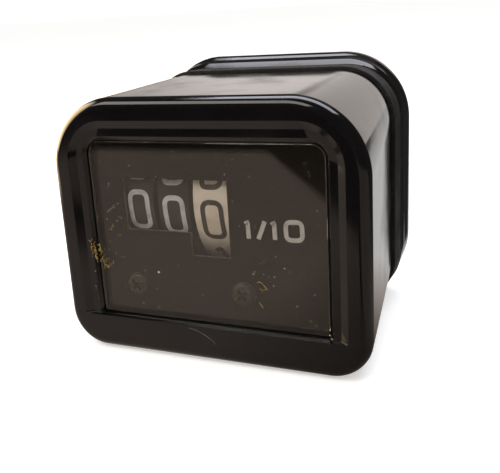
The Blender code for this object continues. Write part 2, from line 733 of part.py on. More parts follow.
def build_reset_shaft(finish):
    """Shaft through the side wall, both frame plates and all three wheels."""
    start = knob_left() + KNOB_CAP + GAP
    groove_end = CLIP_DEPTH + CLIP_THICKNESS + GAP
    end = groove_end + 2 * GAP
    waist = RESET_SHAFT_RADIUS - CLIP_GROOVE
    profile = [
        (0, start), (RESET_SHAFT_RADIUS, start), (RESET_SHAFT_RADIUS, CLIP_DEPTH), (waist, CLIP_DEPTH),
        (waist, groove_end), (RESET_SHAFT_RADIUS, groove_end), (RESET_SHAFT_RADIUS, end), (0, end),
    ]
    place = (0, plane(AXIS_DEPTH), AXIS_Z)
    return add_object("reset_shaft", turned(profile, SMALL_STEPS), finish, place, ALONG_X)


def build_shaft_clip(finish):
    """Open retaining ring in the groove at the shaft's end."""
    inner = RESET_SHAFT_RADIUS - CLIP_GROOVE + GAP
    outline = []
    gap_angle = math.radians(35)
    steps = 18
    for radius, order in ((inner, range(steps + 1)), (CLIP_RADIUS, range(steps, -1, -1))):
        for i in order:
            angle = gap_angle + (2 * math.pi - 2 * gap_angle) * i / steps
            outline.append((radius * math.cos(angle), radius * math.sin(angle)))
    low = CLIP_DEPTH + GAP / 2
    return add_object(
        "shaft_clip", prism(outline, low, low + CLIP_THICKNESS), finish,
        (0, plane(AXIS_DEPTH), AXIS_Z), ALONG_X, smooth=False,
    )


def build_reset_knob(finish):
    """Fluted knob with a domed end and a blind bore for the shaft."""
    samples = KNOB_FLUTES * 4
    bore = RESET_SHAFT_RADIUS + GAP
    shoulder = KNOB_RADIUS * 0.93
    lines = [
        (KNOB_RADIUS * 0.7, 0, False), (shoulder, KNOB_ROUNDING * 0.4, False),
        (KNOB_RADIUS, KNOB_ROUNDING, True), (KNOB_RADIUS, KNOB_LENGTH - KNOB_ROUNDING * 0.6, True),
        (shoulder, KNOB_LENGTH, False), (bore, KNOB_LENGTH, False), (bore, KNOB_CAP, False),
    ]
    rings = []
    for line_radius, height, fluted in lines:
        ring = []
        for j in range(samples):
            angle = 2 * math.pi * j / samples
            radius = line_radius - (FLUTE_DEPTH if fluted and j % 4 == 0 else 0.0)
            ring.append(Vector((radius * math.cos(angle), radius * math.sin(angle), height)))
        rings.append(ring)
    place = (knob_left(), plane(AXIS_DEPTH), AXIS_Z)
    return add_object("reset_knob", loft(rings, closed=False), finish, place, ALONG_X)


def build_grommet(finish):
    """Rubber bush that seals the shaft in the side wall, with an outer flange."""
    bore = RESET_SHAFT_RADIUS + RUNNING_GAP
    face = grommet_face()
    under = face + GROMMET_FLANGE
    inside = under + GROMMET_LENGTH
    profile = [
        (bore, face), (GROMMET_FLANGE_RADIUS, face), (GROMMET_FLANGE_RADIUS, under),
        (GROMMET_RADIUS, under), (GROMMET_RADIUS, inside), (bore, inside),
    ]
    place = (0, plane(AXIS_DEPTH), AXIS_Z)
    return add_object("shaft_grommet", turned(profile, SMALL_STEPS), finish, place, ALONG_X)


# Worm drive

def tooth_outline(teeth, module):
    """Spur outline with straight-flanked teeth, slimmer than the spaces; a space faces each
    local axis."""
    pitch_radius = module * teeth / 2
    tip = pitch_radius + 0.8 * module
    root = pitch_radius - 1.1 * module
    outline = []
    for tooth in range(teeth):
        for share, radius in ((-0.27, root), (-0.11, tip), (0.11, tip), (0.27, root)):
            angle = (tooth + 0.5 + share) * 2 * math.pi / teeth
            outline.append((radius * math.cos(angle), radius * math.sin(angle)))
    return outline


def worm(length, module, pitch_radius, mesh_angle):
    """Single-start right-hand worm along local Z, centred on the origin, closed at both ends.
    Rows and columns step by the same share of a turn, so every column cuts the thread at the
    same points; a crest faces the mesh angle at mid length."""
    lead = math.pi * module
    root = pitch_radius - 1.1 * module
    tip = pitch_radius + 0.8 * module
    half_rows = round(length / lead * WORM_STEPS / 2)
    rings = []
    for row in range(-half_rows, half_rows + 1):
        ring = []
        for column in range(WORM_STEPS):
            angle = 2 * math.pi * column / WORM_STEPS
            turn = row / WORM_STEPS - (angle - mesh_angle) / (2 * math.pi)
            from_crest = abs((turn + 0.5) % 1.0 - 0.5) * WORM_STEPS
            rise = 1.0 if from_crest < 0.5 else 0.85 if from_crest < 1.5 else 0.0
            radius = root + (tip - root) * (rise if abs(row) < half_rows else 0.0)
            height = lead * row / WORM_STEPS
            ring.append(Vector((radius * math.cos(angle), radius * math.sin(angle), height)))
        rings.append(ring)
    return loft(rings, closed=False)


def helical(outline, low, high, twist):
    """Gear blank whose outline turns by a twist from one face to the other."""
    rings = []
    for height, turn in ((low, -twist / 2), (high, twist / 2)):
        cosine = math.cos(turn)
        sine = math.sin(turn)
        rings.append([
            Vector((x * cosine - y * sine, x * sine + y * cosine, height)) for x, y in outline
        ])
    return loft(rings, closed=False)


def worm_twist(module, teeth, face):
    """Turn of the teeth across a gear's face that matches the lead angle of its worm."""
    slope = module / (2 * WORM_PITCH_RADIUS)
    return face * slope / (module * teeth / 2)


def build_drive_gear(finish):
    """Gear with a long hub, free on the reset shaft and driven by the upper worm."""
    twist = worm_twist(GEAR_MODULE, GEAR_TEETH, GEAR_FACE)
    outline = tooth_outline(GEAR_TEETH, GEAR_MODULE)
    gear = add_object(
        "drive_gear", helical(outline, -GEAR_FACE / 2, GEAR_FACE / 2, twist), finish,
        (GEAR_X, plane(AXIS_DEPTH), AXIS_Z), ALONG_X, smooth=False,
    )
    hub = add_object(
        "drive_gear_hub", rod(HUB_RADIUS, GEAR_HUB_LEFT - GEAR_X, GEAR_HUB_RIGHT - GEAR_X), finish,
        gear.location, ALONG_X,
    )
    combine(gear, hub, "UNION")
    reach = GEAR_HUB_RIGHT - GEAR_HUB_LEFT
    bore = add_object(
        "drive_gear_bore", rod(RESET_SHAFT_RADIUS + RUNNING_GAP, -reach, reach, SMALL_STEPS), finish,
        gear.location, ALONG_X,
    )
    combine(gear, bore, "DIFFERENCE")
    return gear


def build_clutch_washer(finish):
    """Dished friction washer between the drive gear's hub and the tenths wheel."""
    left = TENTHS_RIGHT + GAP
    bore = RESET_SHAFT_RADIUS + RUNNING_GAP
    profile = [
        (bore, left + CLUTCH_DISH), (CLUTCH_RADIUS, left), (CLUTCH_RADIUS, left + CLUTCH_SHEET),
        (bore, left + CLUTCH_SHEET + CLUTCH_DISH),
    ]
    place = (0, plane(AXIS_DEPTH), AXIS_Z)
    return add_object("clutch_washer", turned(profile, SMALL_STEPS), finish, place, ALONG_X)


def build_upright_shaft(finish):
    """Upright shaft with its worm moulded on at the height of the drive gear."""
    place = (GEAR_X, plane(UPRIGHT_DEPTH), AXIS_Z)
    towards_gear = 1.5 * math.pi
    thread = worm(WORM_LENGTH, GEAR_MODULE, WORM_PITCH_RADIUS, towards_gear)
    shaft = add_object("upright_shaft", thread, finish, place)
    low = BRACKET_BOTTOM - AXIS_Z + GAP
    high = BRACKET_TOP - AXIS_Z - GAP
    core = add_object("upright_core", rod(UPRIGHT_RADIUS, low, high, SMALL_STEPS), finish, place)
    combine(shaft, core, "UNION")
    return shaft


def build_worm_wheel(finish):
    """Worm wheel pressed on the upright shaft."""
    twist = worm_twist(WORM_WHEEL_MODULE, WORM_WHEEL_TEETH, WORM_WHEEL_FACE)
    outline = tooth_outline(WORM_WHEEL_TEETH, WORM_WHEEL_MODULE)
    wheel = add_object(
        "worm_wheel", helical(outline, -WORM_WHEEL_FACE / 2, WORM_WHEEL_FACE / 2, twist), finish,
        (GEAR_X, plane(UPRIGHT_DEPTH), SPINDLE_Z), smooth=False,
    )
    half = WORM_WHEEL_HUB / 2
    hub = add_object("worm_wheel_hub", rod(HUB_RADIUS, -half, half), finish, wheel.location)
    combine(wheel, hub, "UNION")
    bore = add_object(
        "worm_wheel_bore", rod(UPRIGHT_RADIUS + GAP, -half - OVERCUT, half + OVERCUT, SMALL_STEPS),
        finish, wheel.location,
    )
    combine(wheel, bore, "DIFFERENCE")
    return wheel


def build_drive_spindle(finish):
    """Cable spindle: worm at the front, journal in the collar and a square socket behind."""
    place = (SPINDLE_X, plane(UPRIGHT_DEPTH), SPINDLE_Z)
    thread = worm(SPINDLE_WORM_LENGTH, WORM_WHEEL_MODULE, WORM_PITCH_RADIUS, 0.0)
    spindle = add_object("drive_spindle", thread, finish, place, ALONG_Y)
    neck = SPINDLE_WORM_LENGTH / 2 + SPINDLE_NECK
    tail = DEPTH - UPRIGHT_DEPTH + SPINDLE_TAIL
    slim = WORM_PITCH_RADIUS - 1.3 * WORM_WHEEL_MODULE
    profile = [
        (0, -neck), (slim, -neck), (slim, neck), (SPINDLE_JOURNAL_RADIUS, neck),
        (SPINDLE_JOURNAL_RADIUS, tail), (0, tail),
    ]
    journal = add_object("spindle_journal", turned(profile, SMALL_STEPS), finish, place, ALONG_Y)
    combine(spindle, journal, "UNION")
    half = SPINDLE_SOCKET / 2
    socket = add_object(
        "spindle_socket",
        box((-half, -half, tail - SPINDLE_SOCKET_DEPTH), (half, half, tail + OVERCUT)),
        finish, place, ALONG_Y,
    )
    combine(spindle, socket, "DIFFERENCE")
    return spindle


# Frame and bracket

def side_plate_outline():
    """Side plate in depth and height: an ear in front takes the anchor rod, and its lower edge
    steps up behind the ear to clear the worm wheel; the tail runs back to the foot."""
    foot_back = DEPTH - BASE_FLOOR - GAP
    ear_back = AXIS_DEPTH + ANCHOR_ROD_RADIUS + GAP + EAR_MARGIN
    plate_back = foot_back - PLATE_BACK_SPACE
    plate_front = STRIP_DEPTH + SHEET + PLATE_LEAD
    return [
        (STRIP_DEPTH, STRIP_BOTTOM), (ear_back, STRIP_BOTTOM), (ear_back, PLATE_BOTTOM),
        (foot_back, PLATE_BOTTOM), (foot_back, FOOT_TOP), (plate_back, FOOT_TOP),
        (plate_back, PLATE_TOP), (plate_front, PLATE_TOP), (plate_front, STRIP_TOP),
        (STRIP_DEPTH, STRIP_TOP),
    ]


def build_counter_frame(finish):
    """Folded sheet: a front strip for the dial, two side plates and two rear feet."""
    foot_back = DEPTH - BASE_FLOOR - GAP
    left = LEFT_PLATE_X
    right = RIGHT_PLATE_X + SHEET
    strip = box(
        (left, plane(STRIP_DEPTH), STRIP_BOTTOM), (right, plane(STRIP_DEPTH + SHEET), STRIP_TOP),
    )
    frame = add_object("counter_frame", strip, finish, smooth=False)
    for side, x in (("left", left), ("right", RIGHT_PLATE_X)):
        rings = [
            [Vector((face, plane(depth), z)) for depth, z in side_plate_outline()]
            for face in (x, x + SHEET)
        ]
        plate = add_object(f"frame_plate_{side}", loft(rings, closed=False), finish)
        combine(frame, plate, "UNION")
        foot = add_object(
            f"frame_foot_{side}",
            box((x, plane(foot_back - SHEET), PLATE_BOTTOM), (x + FOOT_LENGTH, plane(foot_back), FOOT_TOP)),
            finish,
        )
        combine(frame, foot, "UNION")
    drill(frame, "frame_shaft_hole", RESET_SHAFT_RADIUS + RUNNING_GAP, AXIS_DEPTH, AXIS_Z, finish)
    drill(frame, "frame_anchor_hole", ANCHOR_ROD_RADIUS + GAP, AXIS_DEPTH, anchor_z(), finish)
    for side, x in (("left", DIAL_SCREW_LEFT_X), ("right", DIAL_SCREW_RIGHT_X)):
        hole = add_object(
            f"frame_dial_hole_{side}",
            rod(SCREW_RADIUS + GAP, -OVERCUT, SHEET + OVERCUT, SMALL_STEPS), finish,
            (x, plane(STRIP_DEPTH), DIAL_SCREW_Z), ALONG_Y,
        )
        combine(frame, hole, "DIFFERENCE")
    for number, (x, z) in enumerate(foot_screw_places(), 1):
        hole = add_object(
            f"frame_foot_hole_{number}",
            rod(SCREW_RADIUS + GAP, -2 * SHEET - OVERCUT, OVERCUT, SMALL_STEPS), finish,
            (x, plane(foot_back), z), ALONG_Y,
        )
        combine(frame, hole, "DIFFERENCE")
    return frame


def drill(target, name, radius, depth, z, finish):
    """Hole along X through both side plates."""
    low = LEFT_PLATE_X - OVERCUT
    high = RIGHT_PLATE_X + SHEET + OVERCUT
    cutter = add_object(
        name, rod(radius, low, high, SMALL_STEPS), finish, (0, plane(depth), z), ALONG_X,
    )
    combine(target, cutter, "DIFFERENCE")


def anchor_z():
    """Height of the anchor rod below the wheels."""
    return AXIS_Z - ANCHOR_ROD_DROP


def foot_screw_places():
    """Screws through the base into the two frame feet and the gear bracket."""
    foot_z = (PLATE_BOTTOM + FOOT_TOP) / 2
    reach = SHEET + (FOOT_LENGTH - SHEET) / 2
    return [
        (LEFT_PLATE_X + reach, foot_z), (RIGHT_PLATE_X + reach, foot_z), (GEAR_X, BRACKET_HOLE_Z),
    ]


def build_anchor_rod(finish):
    """Rod below the wheels, in the ears of the side plates, that holds both pinion carriers."""
    left = LEFT_PLATE_X - ANCHOR_ROD_OVERHANG
    right = RIGHT_PLATE_X + SHEET + ANCHOR_ROD_OVERHANG
    bar = rod(ANCHOR_ROD_RADIUS, left, right, SMALL_STEPS)
    return add_object("anchor_rod", bar, finish, (0, plane(AXIS_DEPTH), anchor_z()), ALONG_X)


def build_gear_bracket(finish):
    """C-shaped sheet on the base floor that carries both ends of the upright shaft."""
    back = DEPTH - BASE_FLOOR - GAP
    web = back - BRACKET_SHEET
    front = UPRIGHT_DEPTH - BRACKET_REACH / 2
    outline = [
        (back, BRACKET_BOTTOM), (back, BRACKET_TOP), (front, BRACKET_TOP),
        (front, BRACKET_TOP - SHEET), (web, BRACKET_TOP - SHEET), (web, BRACKET_BOTTOM + SHEET),
        (front, BRACKET_BOTTOM + SHEET), (front, BRACKET_BOTTOM),
    ]
    rings = [
        [Vector((x, plane(depth), z)) for depth, z in outline]
        for x in (GEAR_X - BRACKET_HALF_WIDTH, GEAR_X + BRACKET_HALF_WIDTH)
    ]
    bracket = add_object("gear_bracket", loft(rings, closed=False), finish, smooth=False)
    low = BRACKET_BOTTOM - OVERCUT
    high = BRACKET_TOP + OVERCUT
    bearing = add_object(
        "bracket_bearing", rod(UPRIGHT_RADIUS + RUNNING_GAP, low, high, SMALL_STEPS), finish,
        (GEAR_X, plane(UPRIGHT_DEPTH), 0),
    )
    combine(bracket, bearing, "DIFFERENCE")
    hole = add_object(
        "bracket_hole", rod(SCREW_RADIUS + GAP, -BRACKET_SHEET - OVERCUT, OVERCUT, SMALL_STEPS),
        finish, (GEAR_X, plane(back), BRACKET_HOLE_Z), ALONG_Y,
    )
    combine(bracket, hole, "DIFFERENCE")
    return bracket


# Rear base

def seal_section(depth, inset=0.0):
    """Outer section of the seal: the rear of the case, drawn out a little."""
    return at_depth(case_section(BODY_END, inset - SEAL_PROUD), depth)


def rim_section(depth, inset):
    """Outline of the base's rim, drawn in by an inset."""
    half = REAR_WIDTH / 2 + SEAL_PROUD + RIM_LIP_SIDE - inset
    top = REAR_TOP + SEAL_PROUD + RIM_LIP_TOP - inset
    bottom = REAR_BOTTOM - SEAL_PROUD - RIM_LIP_BOTTOM + inset
    return section(half, top, bottom, RIM_RADIUS - inset, RIM_RADIUS - inset, plane(depth))


def blend_rings(first, second, share, depth):
    """Ring part of the way between two others."""
    return [
        Vector((a.x + (b.x - a.x) * share, plane(depth), a.z + (b.z - a.z) * share))
        for a, b in zip(first, second)
    ]


def build_rear_seal(finish):
    """Rubber band that closes the joint between the case's spigot and the base."""
    front = BODY_END + GAP
    inner = SEAL_PROUD + SPIGOT_INSET - GAP
    rings = [
        seal_section(front, SEAL_ROUNDING), seal_section(front + SEAL_ROUNDING),
        seal_section(SPIGOT_END), seal_section(SPIGOT_END, inner), seal_section(front, inner),
    ]
    return add_object("rear_seal", loft(rings, closed=True), finish)


def build_rear_base(finish):
    """Pan with a stepped, rounded rim, a flat floor and pillars for the case screws."""
    front = SPIGOT_END + GAP
    floor = DEPTH - BASE_FLOOR
    start = seal_section(front)
    rim = rim_section(RIM_DEPTH, 0.0)
    steps = (
        (0.16, front + 0.7 * MM), (0.40, SHOULDER_DEPTH - 0.3 * MM),
        (0.47, SHOULDER_DEPTH + 0.1 * MM), (0.55, SHOULDER_DEPTH + 0.9 * MM),
        (0.85, RIM_DEPTH - 1.6 * MM), (0.96, RIM_DEPTH - 0.8 * MM),
    )
    rounded_back = ((0.9 * MM, 0.25 * MM), (0.2 * MM, 0.9 * MM), (0.0, 1.7 * MM))
    rings = [start]
    rings += [blend_rings(start, rim, share, depth) for share, depth in steps]
    rings.append(rim)
    rings += [rim_section(DEPTH - height, inset) for height, inset in rounded_back]
    base = add_object("rear_base", loft(rings, closed=False), finish)
    pocket = [seal_section(front - OVERCUT, BASE_WALL), seal_section(floor, BASE_WALL)]
    hollow = add_object("base_hollow", loft(pocket, closed=False), finish)
    combine(base, hollow, "DIFFERENCE")
    for number, (x, z) in enumerate(boss_places(), 1):
        pillar = add_object(
            f"base_pillar_{number}", rod(BOSS_RADIUS, front, floor + OVERCUT, SMALL_STEPS), finish,
            (x, plane(0), z), ALONG_Y,
        )
        combine(base, pillar, "UNION")
    shank = SCREW_RADIUS + GAP
    head = SCREW_HEAD_RADIUS + GAP
    seat = DEPTH - COUNTERBORE
    bore_profile = [
        (0, front - OVERCUT), (shank, front - OVERCUT), (shank, seat), (head, seat),
        (head, DEPTH + OVERCUT), (0, DEPTH + OVERCUT),
    ]
    for number, (x, z) in enumerate(boss_places() + foot_screw_places(), 1):
        bore = turned(bore_profile, SMALL_STEPS)
        cutter = add_object(f"base_screw_bore_{number}", bore, finish, (x, plane(0), z), ALONG_Y)
        combine(base, cutter, "DIFFERENCE")
    nut_radius = COLLAR_NUT_FLATS / math.sqrt(3)
    openings = (
        ("stud_left", -STUD_X, STUD_Z, STUD_RADIUS, RUBBER_RADIUS),
        ("stud_right", STUD_X, STUD_Z, STUD_RADIUS, RUBBER_RADIUS),
        ("collar", SPINDLE_X, SPINDLE_Z, COLLAR_RADIUS, nut_radius),
    )
    for label, x, z, radius, seat_radius in openings:
        sunk = DEPTH - SEAT_RECESS
        hole = turned([
            (0, floor - OVERCUT), (radius + GAP, floor - OVERCUT), (radius + GAP, sunk),
            (seat_radius + GAP, sunk), (seat_radius + GAP, DEPTH + OVERCUT), (0, DEPTH + OVERCUT),
        ])
        cutter = add_object(f"base_{label}_hole", hole, finish, (x, plane(0), z), ALONG_Y)
        combine(base, cutter, "DIFFERENCE")
    return base


def build_rear_screws(finish):
    """Screws seated in the counterbores of the base."""
    seat = DEPTH - COUNTERBORE + GAP
    head_under = plane(seat)
    cover_length = seat - (SPIGOT_END - BOSS_LENGTH + PILOT_FLOOR) - GAP
    for number, (x, z) in enumerate(boss_places(), 1):
        screw(f"cover_screw_{number}", finish, (x, head_under, z), cover_length, towards_front=True)
    for number, (x, z) in enumerate(foot_screw_places(), 1):
        screw(
            f"frame_screw_{number}", finish, (x, head_under, z), FRAME_SCREW_LENGTH,
            towards_front=True,
        )


def hexagon(flats):
    """Hexagon outline with the given distance across its flats."""
    radius = flats / math.sqrt(3)
    angles = [math.radians(60 * i) for i in range(6)]
    return [(radius * math.cos(angle), radius * math.sin(angle)) for angle in angles]


def nut(name, flats, height, bore, finish, place):
    """Plain hexagon nut along Y."""
    body = add_object(name, prism(hexagon(flats), 0, height), finish, place, ALONG_Y, smooth=False)
    slim = flats * 0.4
    wide = flats * 0.6
    cone = [
        (0, -OVERCUT), (slim, -OVERCUT), (wide, OVERCUT), (wide, height - OVERCUT),
        (slim, height + OVERCUT), (0, height + OVERCUT),
    ]
    crown = add_object(f"{name}_crown", turned(cone), finish, place, ALONG_Y)
    combine(body, crown, "INTERSECT")
    drilled = rod(bore, -OVERCUT, height + OVERCUT, SMALL_STEPS)
    hole = add_object(f"{name}_bore", drilled, finish, place, ALONG_Y)
    combine(body, hole, "DIFFERENCE")
    return body


def build_mounting(side, x, stud_finish, rubber_finish):
    """Stud with its head inside the base, and rubber bush, washer and nut outside."""
    under_head = plane(DEPTH - BASE_FLOOR - GAP)
    shank = BASE_FLOOR + GAP + STUD_LENGTH
    profile = [
        (0, -STUD_HEAD_HEIGHT), (STUD_HEAD_RADIUS, -STUD_HEAD_HEIGHT), (STUD_HEAD_RADIUS, 0),
        (STUD_RADIUS, 0), (STUD_RADIUS, shank - STUD_CHAMFER), (STUD_RADIUS - STUD_CHAMFER, shank),
        (0, shank),
    ]
    place = (x, under_head, STUD_Z)
    add_object(f"mount_stud_{side}", turned(profile, SMALL_STEPS), stud_finish, place, ALONG_Y)
    bore = STUD_RADIUS + GAP
    waist = RUBBER_RADIUS - RUBBER_WAIST
    end = GAP + RUBBER_LENGTH
    groove = RUBBER_LIP + RUBBER_WAIST / 2
    rubber = [
        (bore, GAP), (RUBBER_RADIUS, GAP), (RUBBER_RADIUS, GAP + RUBBER_LIP), (waist, GAP + groove),
        (waist, end - groove), (RUBBER_RADIUS, end - RUBBER_LIP), (RUBBER_RADIUS, end), (bore, end),
    ]
    seat = (x, -SEAT_RECESS, STUD_Z)
    add_object(f"mount_rubber_{side}", turned(rubber), rubber_finish, seat, ALONG_Y)
    washer_start = 2 * GAP + RUBBER_LENGTH
    washer_end = washer_start + WASHER_THICKNESS
    add_object(
        f"mount_washer_{side}",
        turned([
            (bore, washer_start), (WASHER_RADIUS, washer_start), (WASHER_RADIUS, washer_end),
            (bore, washer_end),
        ]),
        stud_finish, seat, ALONG_Y,
    )
    nut(
        f"mount_nut_{side}", NUT_FLATS, NUT_HEIGHT, bore, stud_finish,
        (x, washer_end + GAP - SEAT_RECESS, STUD_Z),
    )


def build_cable_collar(finish, nut_finish):
    """Threaded collar for the drive cable, flanged inside the base and locked by a nut."""
    under_flange = DEPTH - BASE_FLOOR - GAP
    bore = SPINDLE_JOURNAL_RADIUS + RUNNING_GAP
    mouth = DEPTH + SPINDLE_TAIL / 2
    flange = under_flange - COLLAR_FLANGE
    end = DEPTH + COLLAR_LENGTH
    profile = [
        (bore, flange), (COLLAR_FLANGE_RADIUS, flange), (COLLAR_FLANGE_RADIUS, under_flange),
        (COLLAR_RADIUS, under_flange), (COLLAR_RADIUS, end - COLLAR_CHAMFER),
        (COLLAR_RADIUS - COLLAR_CHAMFER, end), (COLLAR_MOUTH_RADIUS, end),
        (COLLAR_MOUTH_RADIUS, mouth), (bore, mouth),
    ]
    place = (SPINDLE_X, plane(0), SPINDLE_Z)
    add_object("cable_collar", turned(profile), finish, place, ALONG_Y)
    nut(
        "collar_nut", COLLAR_NUT_FLATS, COLLAR_NUT_HEIGHT, COLLAR_RADIUS + GAP, nut_finish,
        (SPINDLE_X, GAP - SEAT_RECESS, SPINDLE_Z),
    )


def build_all():
    """Make every piece of the odometer with its finish."""
    clear_scene()
    gloss_black = material("gloss black moulding", "0E0E10", 0.12)
    rubber = material("black rubber", "1B1B1C", 0.75)
    clear = material("clear acrylic", "F2EFE8", 0.05, transmission=1.0)
    dial_black = material("matt black dial paint", "17150F", 0.6)
    wheel_black = material("black wheel moulding", "121212", 0.45)
    wheel_cream = material("cream wheel moulding", "E4DFCF", 0.5)
    nylon = material("natural nylon", "D9D3C0", 0.45)
    brass = material("brass", "B08D4A", 0.35, metallic=1.0)
    zinc = material("zinc plated steel", "9A9C9C", 0.38, metallic=1.0)
    dark_screw = material("blackened steel", "2A2620", 0.5, metallic=0.8)
    build_case(gloss_black)
    build_lens(clear)
    build_lens_gasket(rubber)
    build_dial_plate(dial_black)
    build_dial_screws(dark_screw)
    build_counter_frame(zinc)
    build_anchor_rod(zinc)
    build_wheel("tenths_wheel", wheel_left(0), TENTHS_WIDTH, False, wheel_cream)
    build_wheel("ones_wheel", wheel_left(1), WHEEL_WIDTH, True, wheel_black)
    build_wheel("tens_wheel", wheel_left(2), WHEEL_WIDTH, True, wheel_black)
    build_carry_pinion("ones_pinion", 1, nylon)
    build_carry_pinion("tens_pinion", 2, nylon)
    build_carrier("ones_carrier", 1, zinc)
    build_carrier("tens_carrier", 2, zinc)
    build_reset_shaft(zinc)
    build_reset_knob(gloss_black)
    build_grommet(rubber)
    build_shaft_clip(dark_screw)
    build_drive_gear(nylon)
    build_clutch_washer(brass)
    build_upright_shaft(nylon)
    build_worm_wheel(nylon)
    build_drive_spindle(brass)
    build_gear_bracket(zinc)
    build_rear_seal(rubber)
    build_rear_base(gloss_black)
    build_rear_screws(dark_screw)
    for side, x in (("left", -STUD_X), ("right", STUD_X)):
        build_mounting(side, x, zinc, rubber)
    build_cable_collar(brass, zinc)


build_all()
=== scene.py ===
import json
import math

import bmesh
import bpy
import numpy as np
from mathutils import Matrix, Vector


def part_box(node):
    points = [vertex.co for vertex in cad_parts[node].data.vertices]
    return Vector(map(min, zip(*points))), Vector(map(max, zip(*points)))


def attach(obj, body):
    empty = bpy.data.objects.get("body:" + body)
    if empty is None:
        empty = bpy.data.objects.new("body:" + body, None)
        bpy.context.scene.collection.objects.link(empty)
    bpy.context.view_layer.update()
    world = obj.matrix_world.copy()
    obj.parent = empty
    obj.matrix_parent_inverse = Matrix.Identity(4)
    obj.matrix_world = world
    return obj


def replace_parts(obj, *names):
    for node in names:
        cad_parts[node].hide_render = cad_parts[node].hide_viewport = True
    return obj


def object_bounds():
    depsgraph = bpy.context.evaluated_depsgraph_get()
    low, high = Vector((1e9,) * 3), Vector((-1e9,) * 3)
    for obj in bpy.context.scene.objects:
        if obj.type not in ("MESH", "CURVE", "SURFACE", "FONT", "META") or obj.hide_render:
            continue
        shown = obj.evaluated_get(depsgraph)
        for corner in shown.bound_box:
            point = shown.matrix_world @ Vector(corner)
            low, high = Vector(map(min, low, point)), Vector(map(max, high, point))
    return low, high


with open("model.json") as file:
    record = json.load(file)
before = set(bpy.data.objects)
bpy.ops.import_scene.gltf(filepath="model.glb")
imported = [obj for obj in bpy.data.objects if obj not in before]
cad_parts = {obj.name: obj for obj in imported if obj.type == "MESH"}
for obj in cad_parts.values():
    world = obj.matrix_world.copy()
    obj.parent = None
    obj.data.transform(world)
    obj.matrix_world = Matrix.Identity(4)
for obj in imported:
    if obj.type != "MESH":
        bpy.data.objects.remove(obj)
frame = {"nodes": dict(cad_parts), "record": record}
cad_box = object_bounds()

NODES = frame["nodes"]
BODY_OF = {node: body for body, nodes in frame["record"]["behaviour"]["bodies"].items() for node in nodes}
SLOT_OF = {part["node"]: part["material_slot"] for part in frame["record"]["subparts"]}
MM = 0.001
GAP = 0.3
JOIN = "UNION"
CUT = "DIFFERENCE"

# Case, as it is built
DEPTH = -cad_box[0].y / MM
BEZEL_HALF = 35.0
BEZEL_TOP = 27.85
BEZEL_TOP_RADIUS = 15.4
BEZEL_BOTTOM_RADIUS = 8.5
EDGE_DEPTH = 2.5
EDGE_INSET = 2.1
BODY_END = 36.5
SPIGOT_END = 42.5
CASE_WALL = 2.6
SPIGOT_INSET = 1.9
SPIGOT_WALL = 1.9
REAR_TOP = 29.8
REAR_BOTTOM = -24.2
REAR_HALF = 30.55
REAR_TOP_RADIUS = 11.8
REAR_BOTTOM_RADIUS = 10.0
BASE_FRONT = 42.8
BASE_FLOOR = 47.5
HEAD_SEAT = 48.5
MOUNT_SEAT = 50.0
CUT_FROM = 41.8
CUT_TO = 51.5
RIM_HALF = 31.9
RIM_TOP = 33.2
RIM_BOTTOM = -25.6
RIM_RADIUS = 15.4
WINDOW_HALF = 30.6
WINDOW_TOP = 23.2
WINDOW_SILL = -20.0
CHAMFER = 1.65
LEDGE = 1.65
LEDGE_DEPTH = 1.0
APERTURE_DEPTH = 1.7
APERTURE_HALF = 26.7
APERTURE_TOP = 19.0
APERTURE_BOTTOM = -19.7
APERTURE_RADIUS = 3.2
SHARP_RADIUS = 0.5
LENS_LIP = 2.4
LENS_LIP_FRONT = 3.0
LENS_LIP_BACK = 4.2
DIAL_FRONT_Y = -44.0
WALL_BACK = 2.7
SCREW_RADIUS = 1.5
SCREW_HEAD = 2.62
SCREW_POINT = 0.4
BOSS_RADIUS = 2.6
PILOT_RADIUS = 1.8
HEAD_HOLE = 2.92
GROMMET_HOLE = 4.3

# Number wheels
AXIS_Y = -25.0
AXIS_Z = 4.9
WHEEL_RADIUS = 18.0
LOCKING_RADIUS = 14.5
NOTCH_RADIUS = 15.9
TOOTH_TIP = 12.025
TOOTH_ROOT = 14.495
RING_TEETH = 20
HUB_RADIUS = 3.4
SHAFT_HOLE = 2.3
WHEEL_CAVITY = 2.5
FIGURE_HEIGHT = 9.2
FIGURE_WIDTH = 5.4
FIGURE_STROKE = 1.12
FIGURE_CORNER = 1.75
FIGURE_RELIEF = 0.03

# Fineness of the surfaces
CORNER_STEPS = 28
ROUND_STEPS = 96
SMALL_STEPS = 48
EDGE_STEPS = 12


# Mesh tools

def outline(half, top, bottom, top_radius, bottom_radius, steps=CORNER_STEPS):
    """Rounded rectangle of x and z, anticlockwise from the front: each corner is its centre
    plus its radius times the cosine and sine of an angle that runs through a quarter turn."""
    turn = np.linspace(0, np.pi / 2, steps + 1)
    corners = (
        (half - top_radius, top - top_radius, top_radius, 0),
        (top_radius - half, top - top_radius, top_radius, 1),
        (bottom_radius - half, bottom + bottom_radius, bottom_radius, 2),
        (half - bottom_radius, bottom + bottom_radius, bottom_radius, 3),
    )
    arcs = []
    for x, z, radius, quarter in corners:
        angle = turn + quarter * np.pi / 2
        arcs.append(np.stack([x + radius * np.cos(angle), z + radius * np.sin(angle)], -1))
    return np.concatenate(arcs)


def ring(section, depth):
    """The outline set upright in the plane at a depth behind the front land."""
    y = np.full(len(section), depth - DEPTH)
    return np.stack([section[:, 0], y, section[:, 1]], -1)


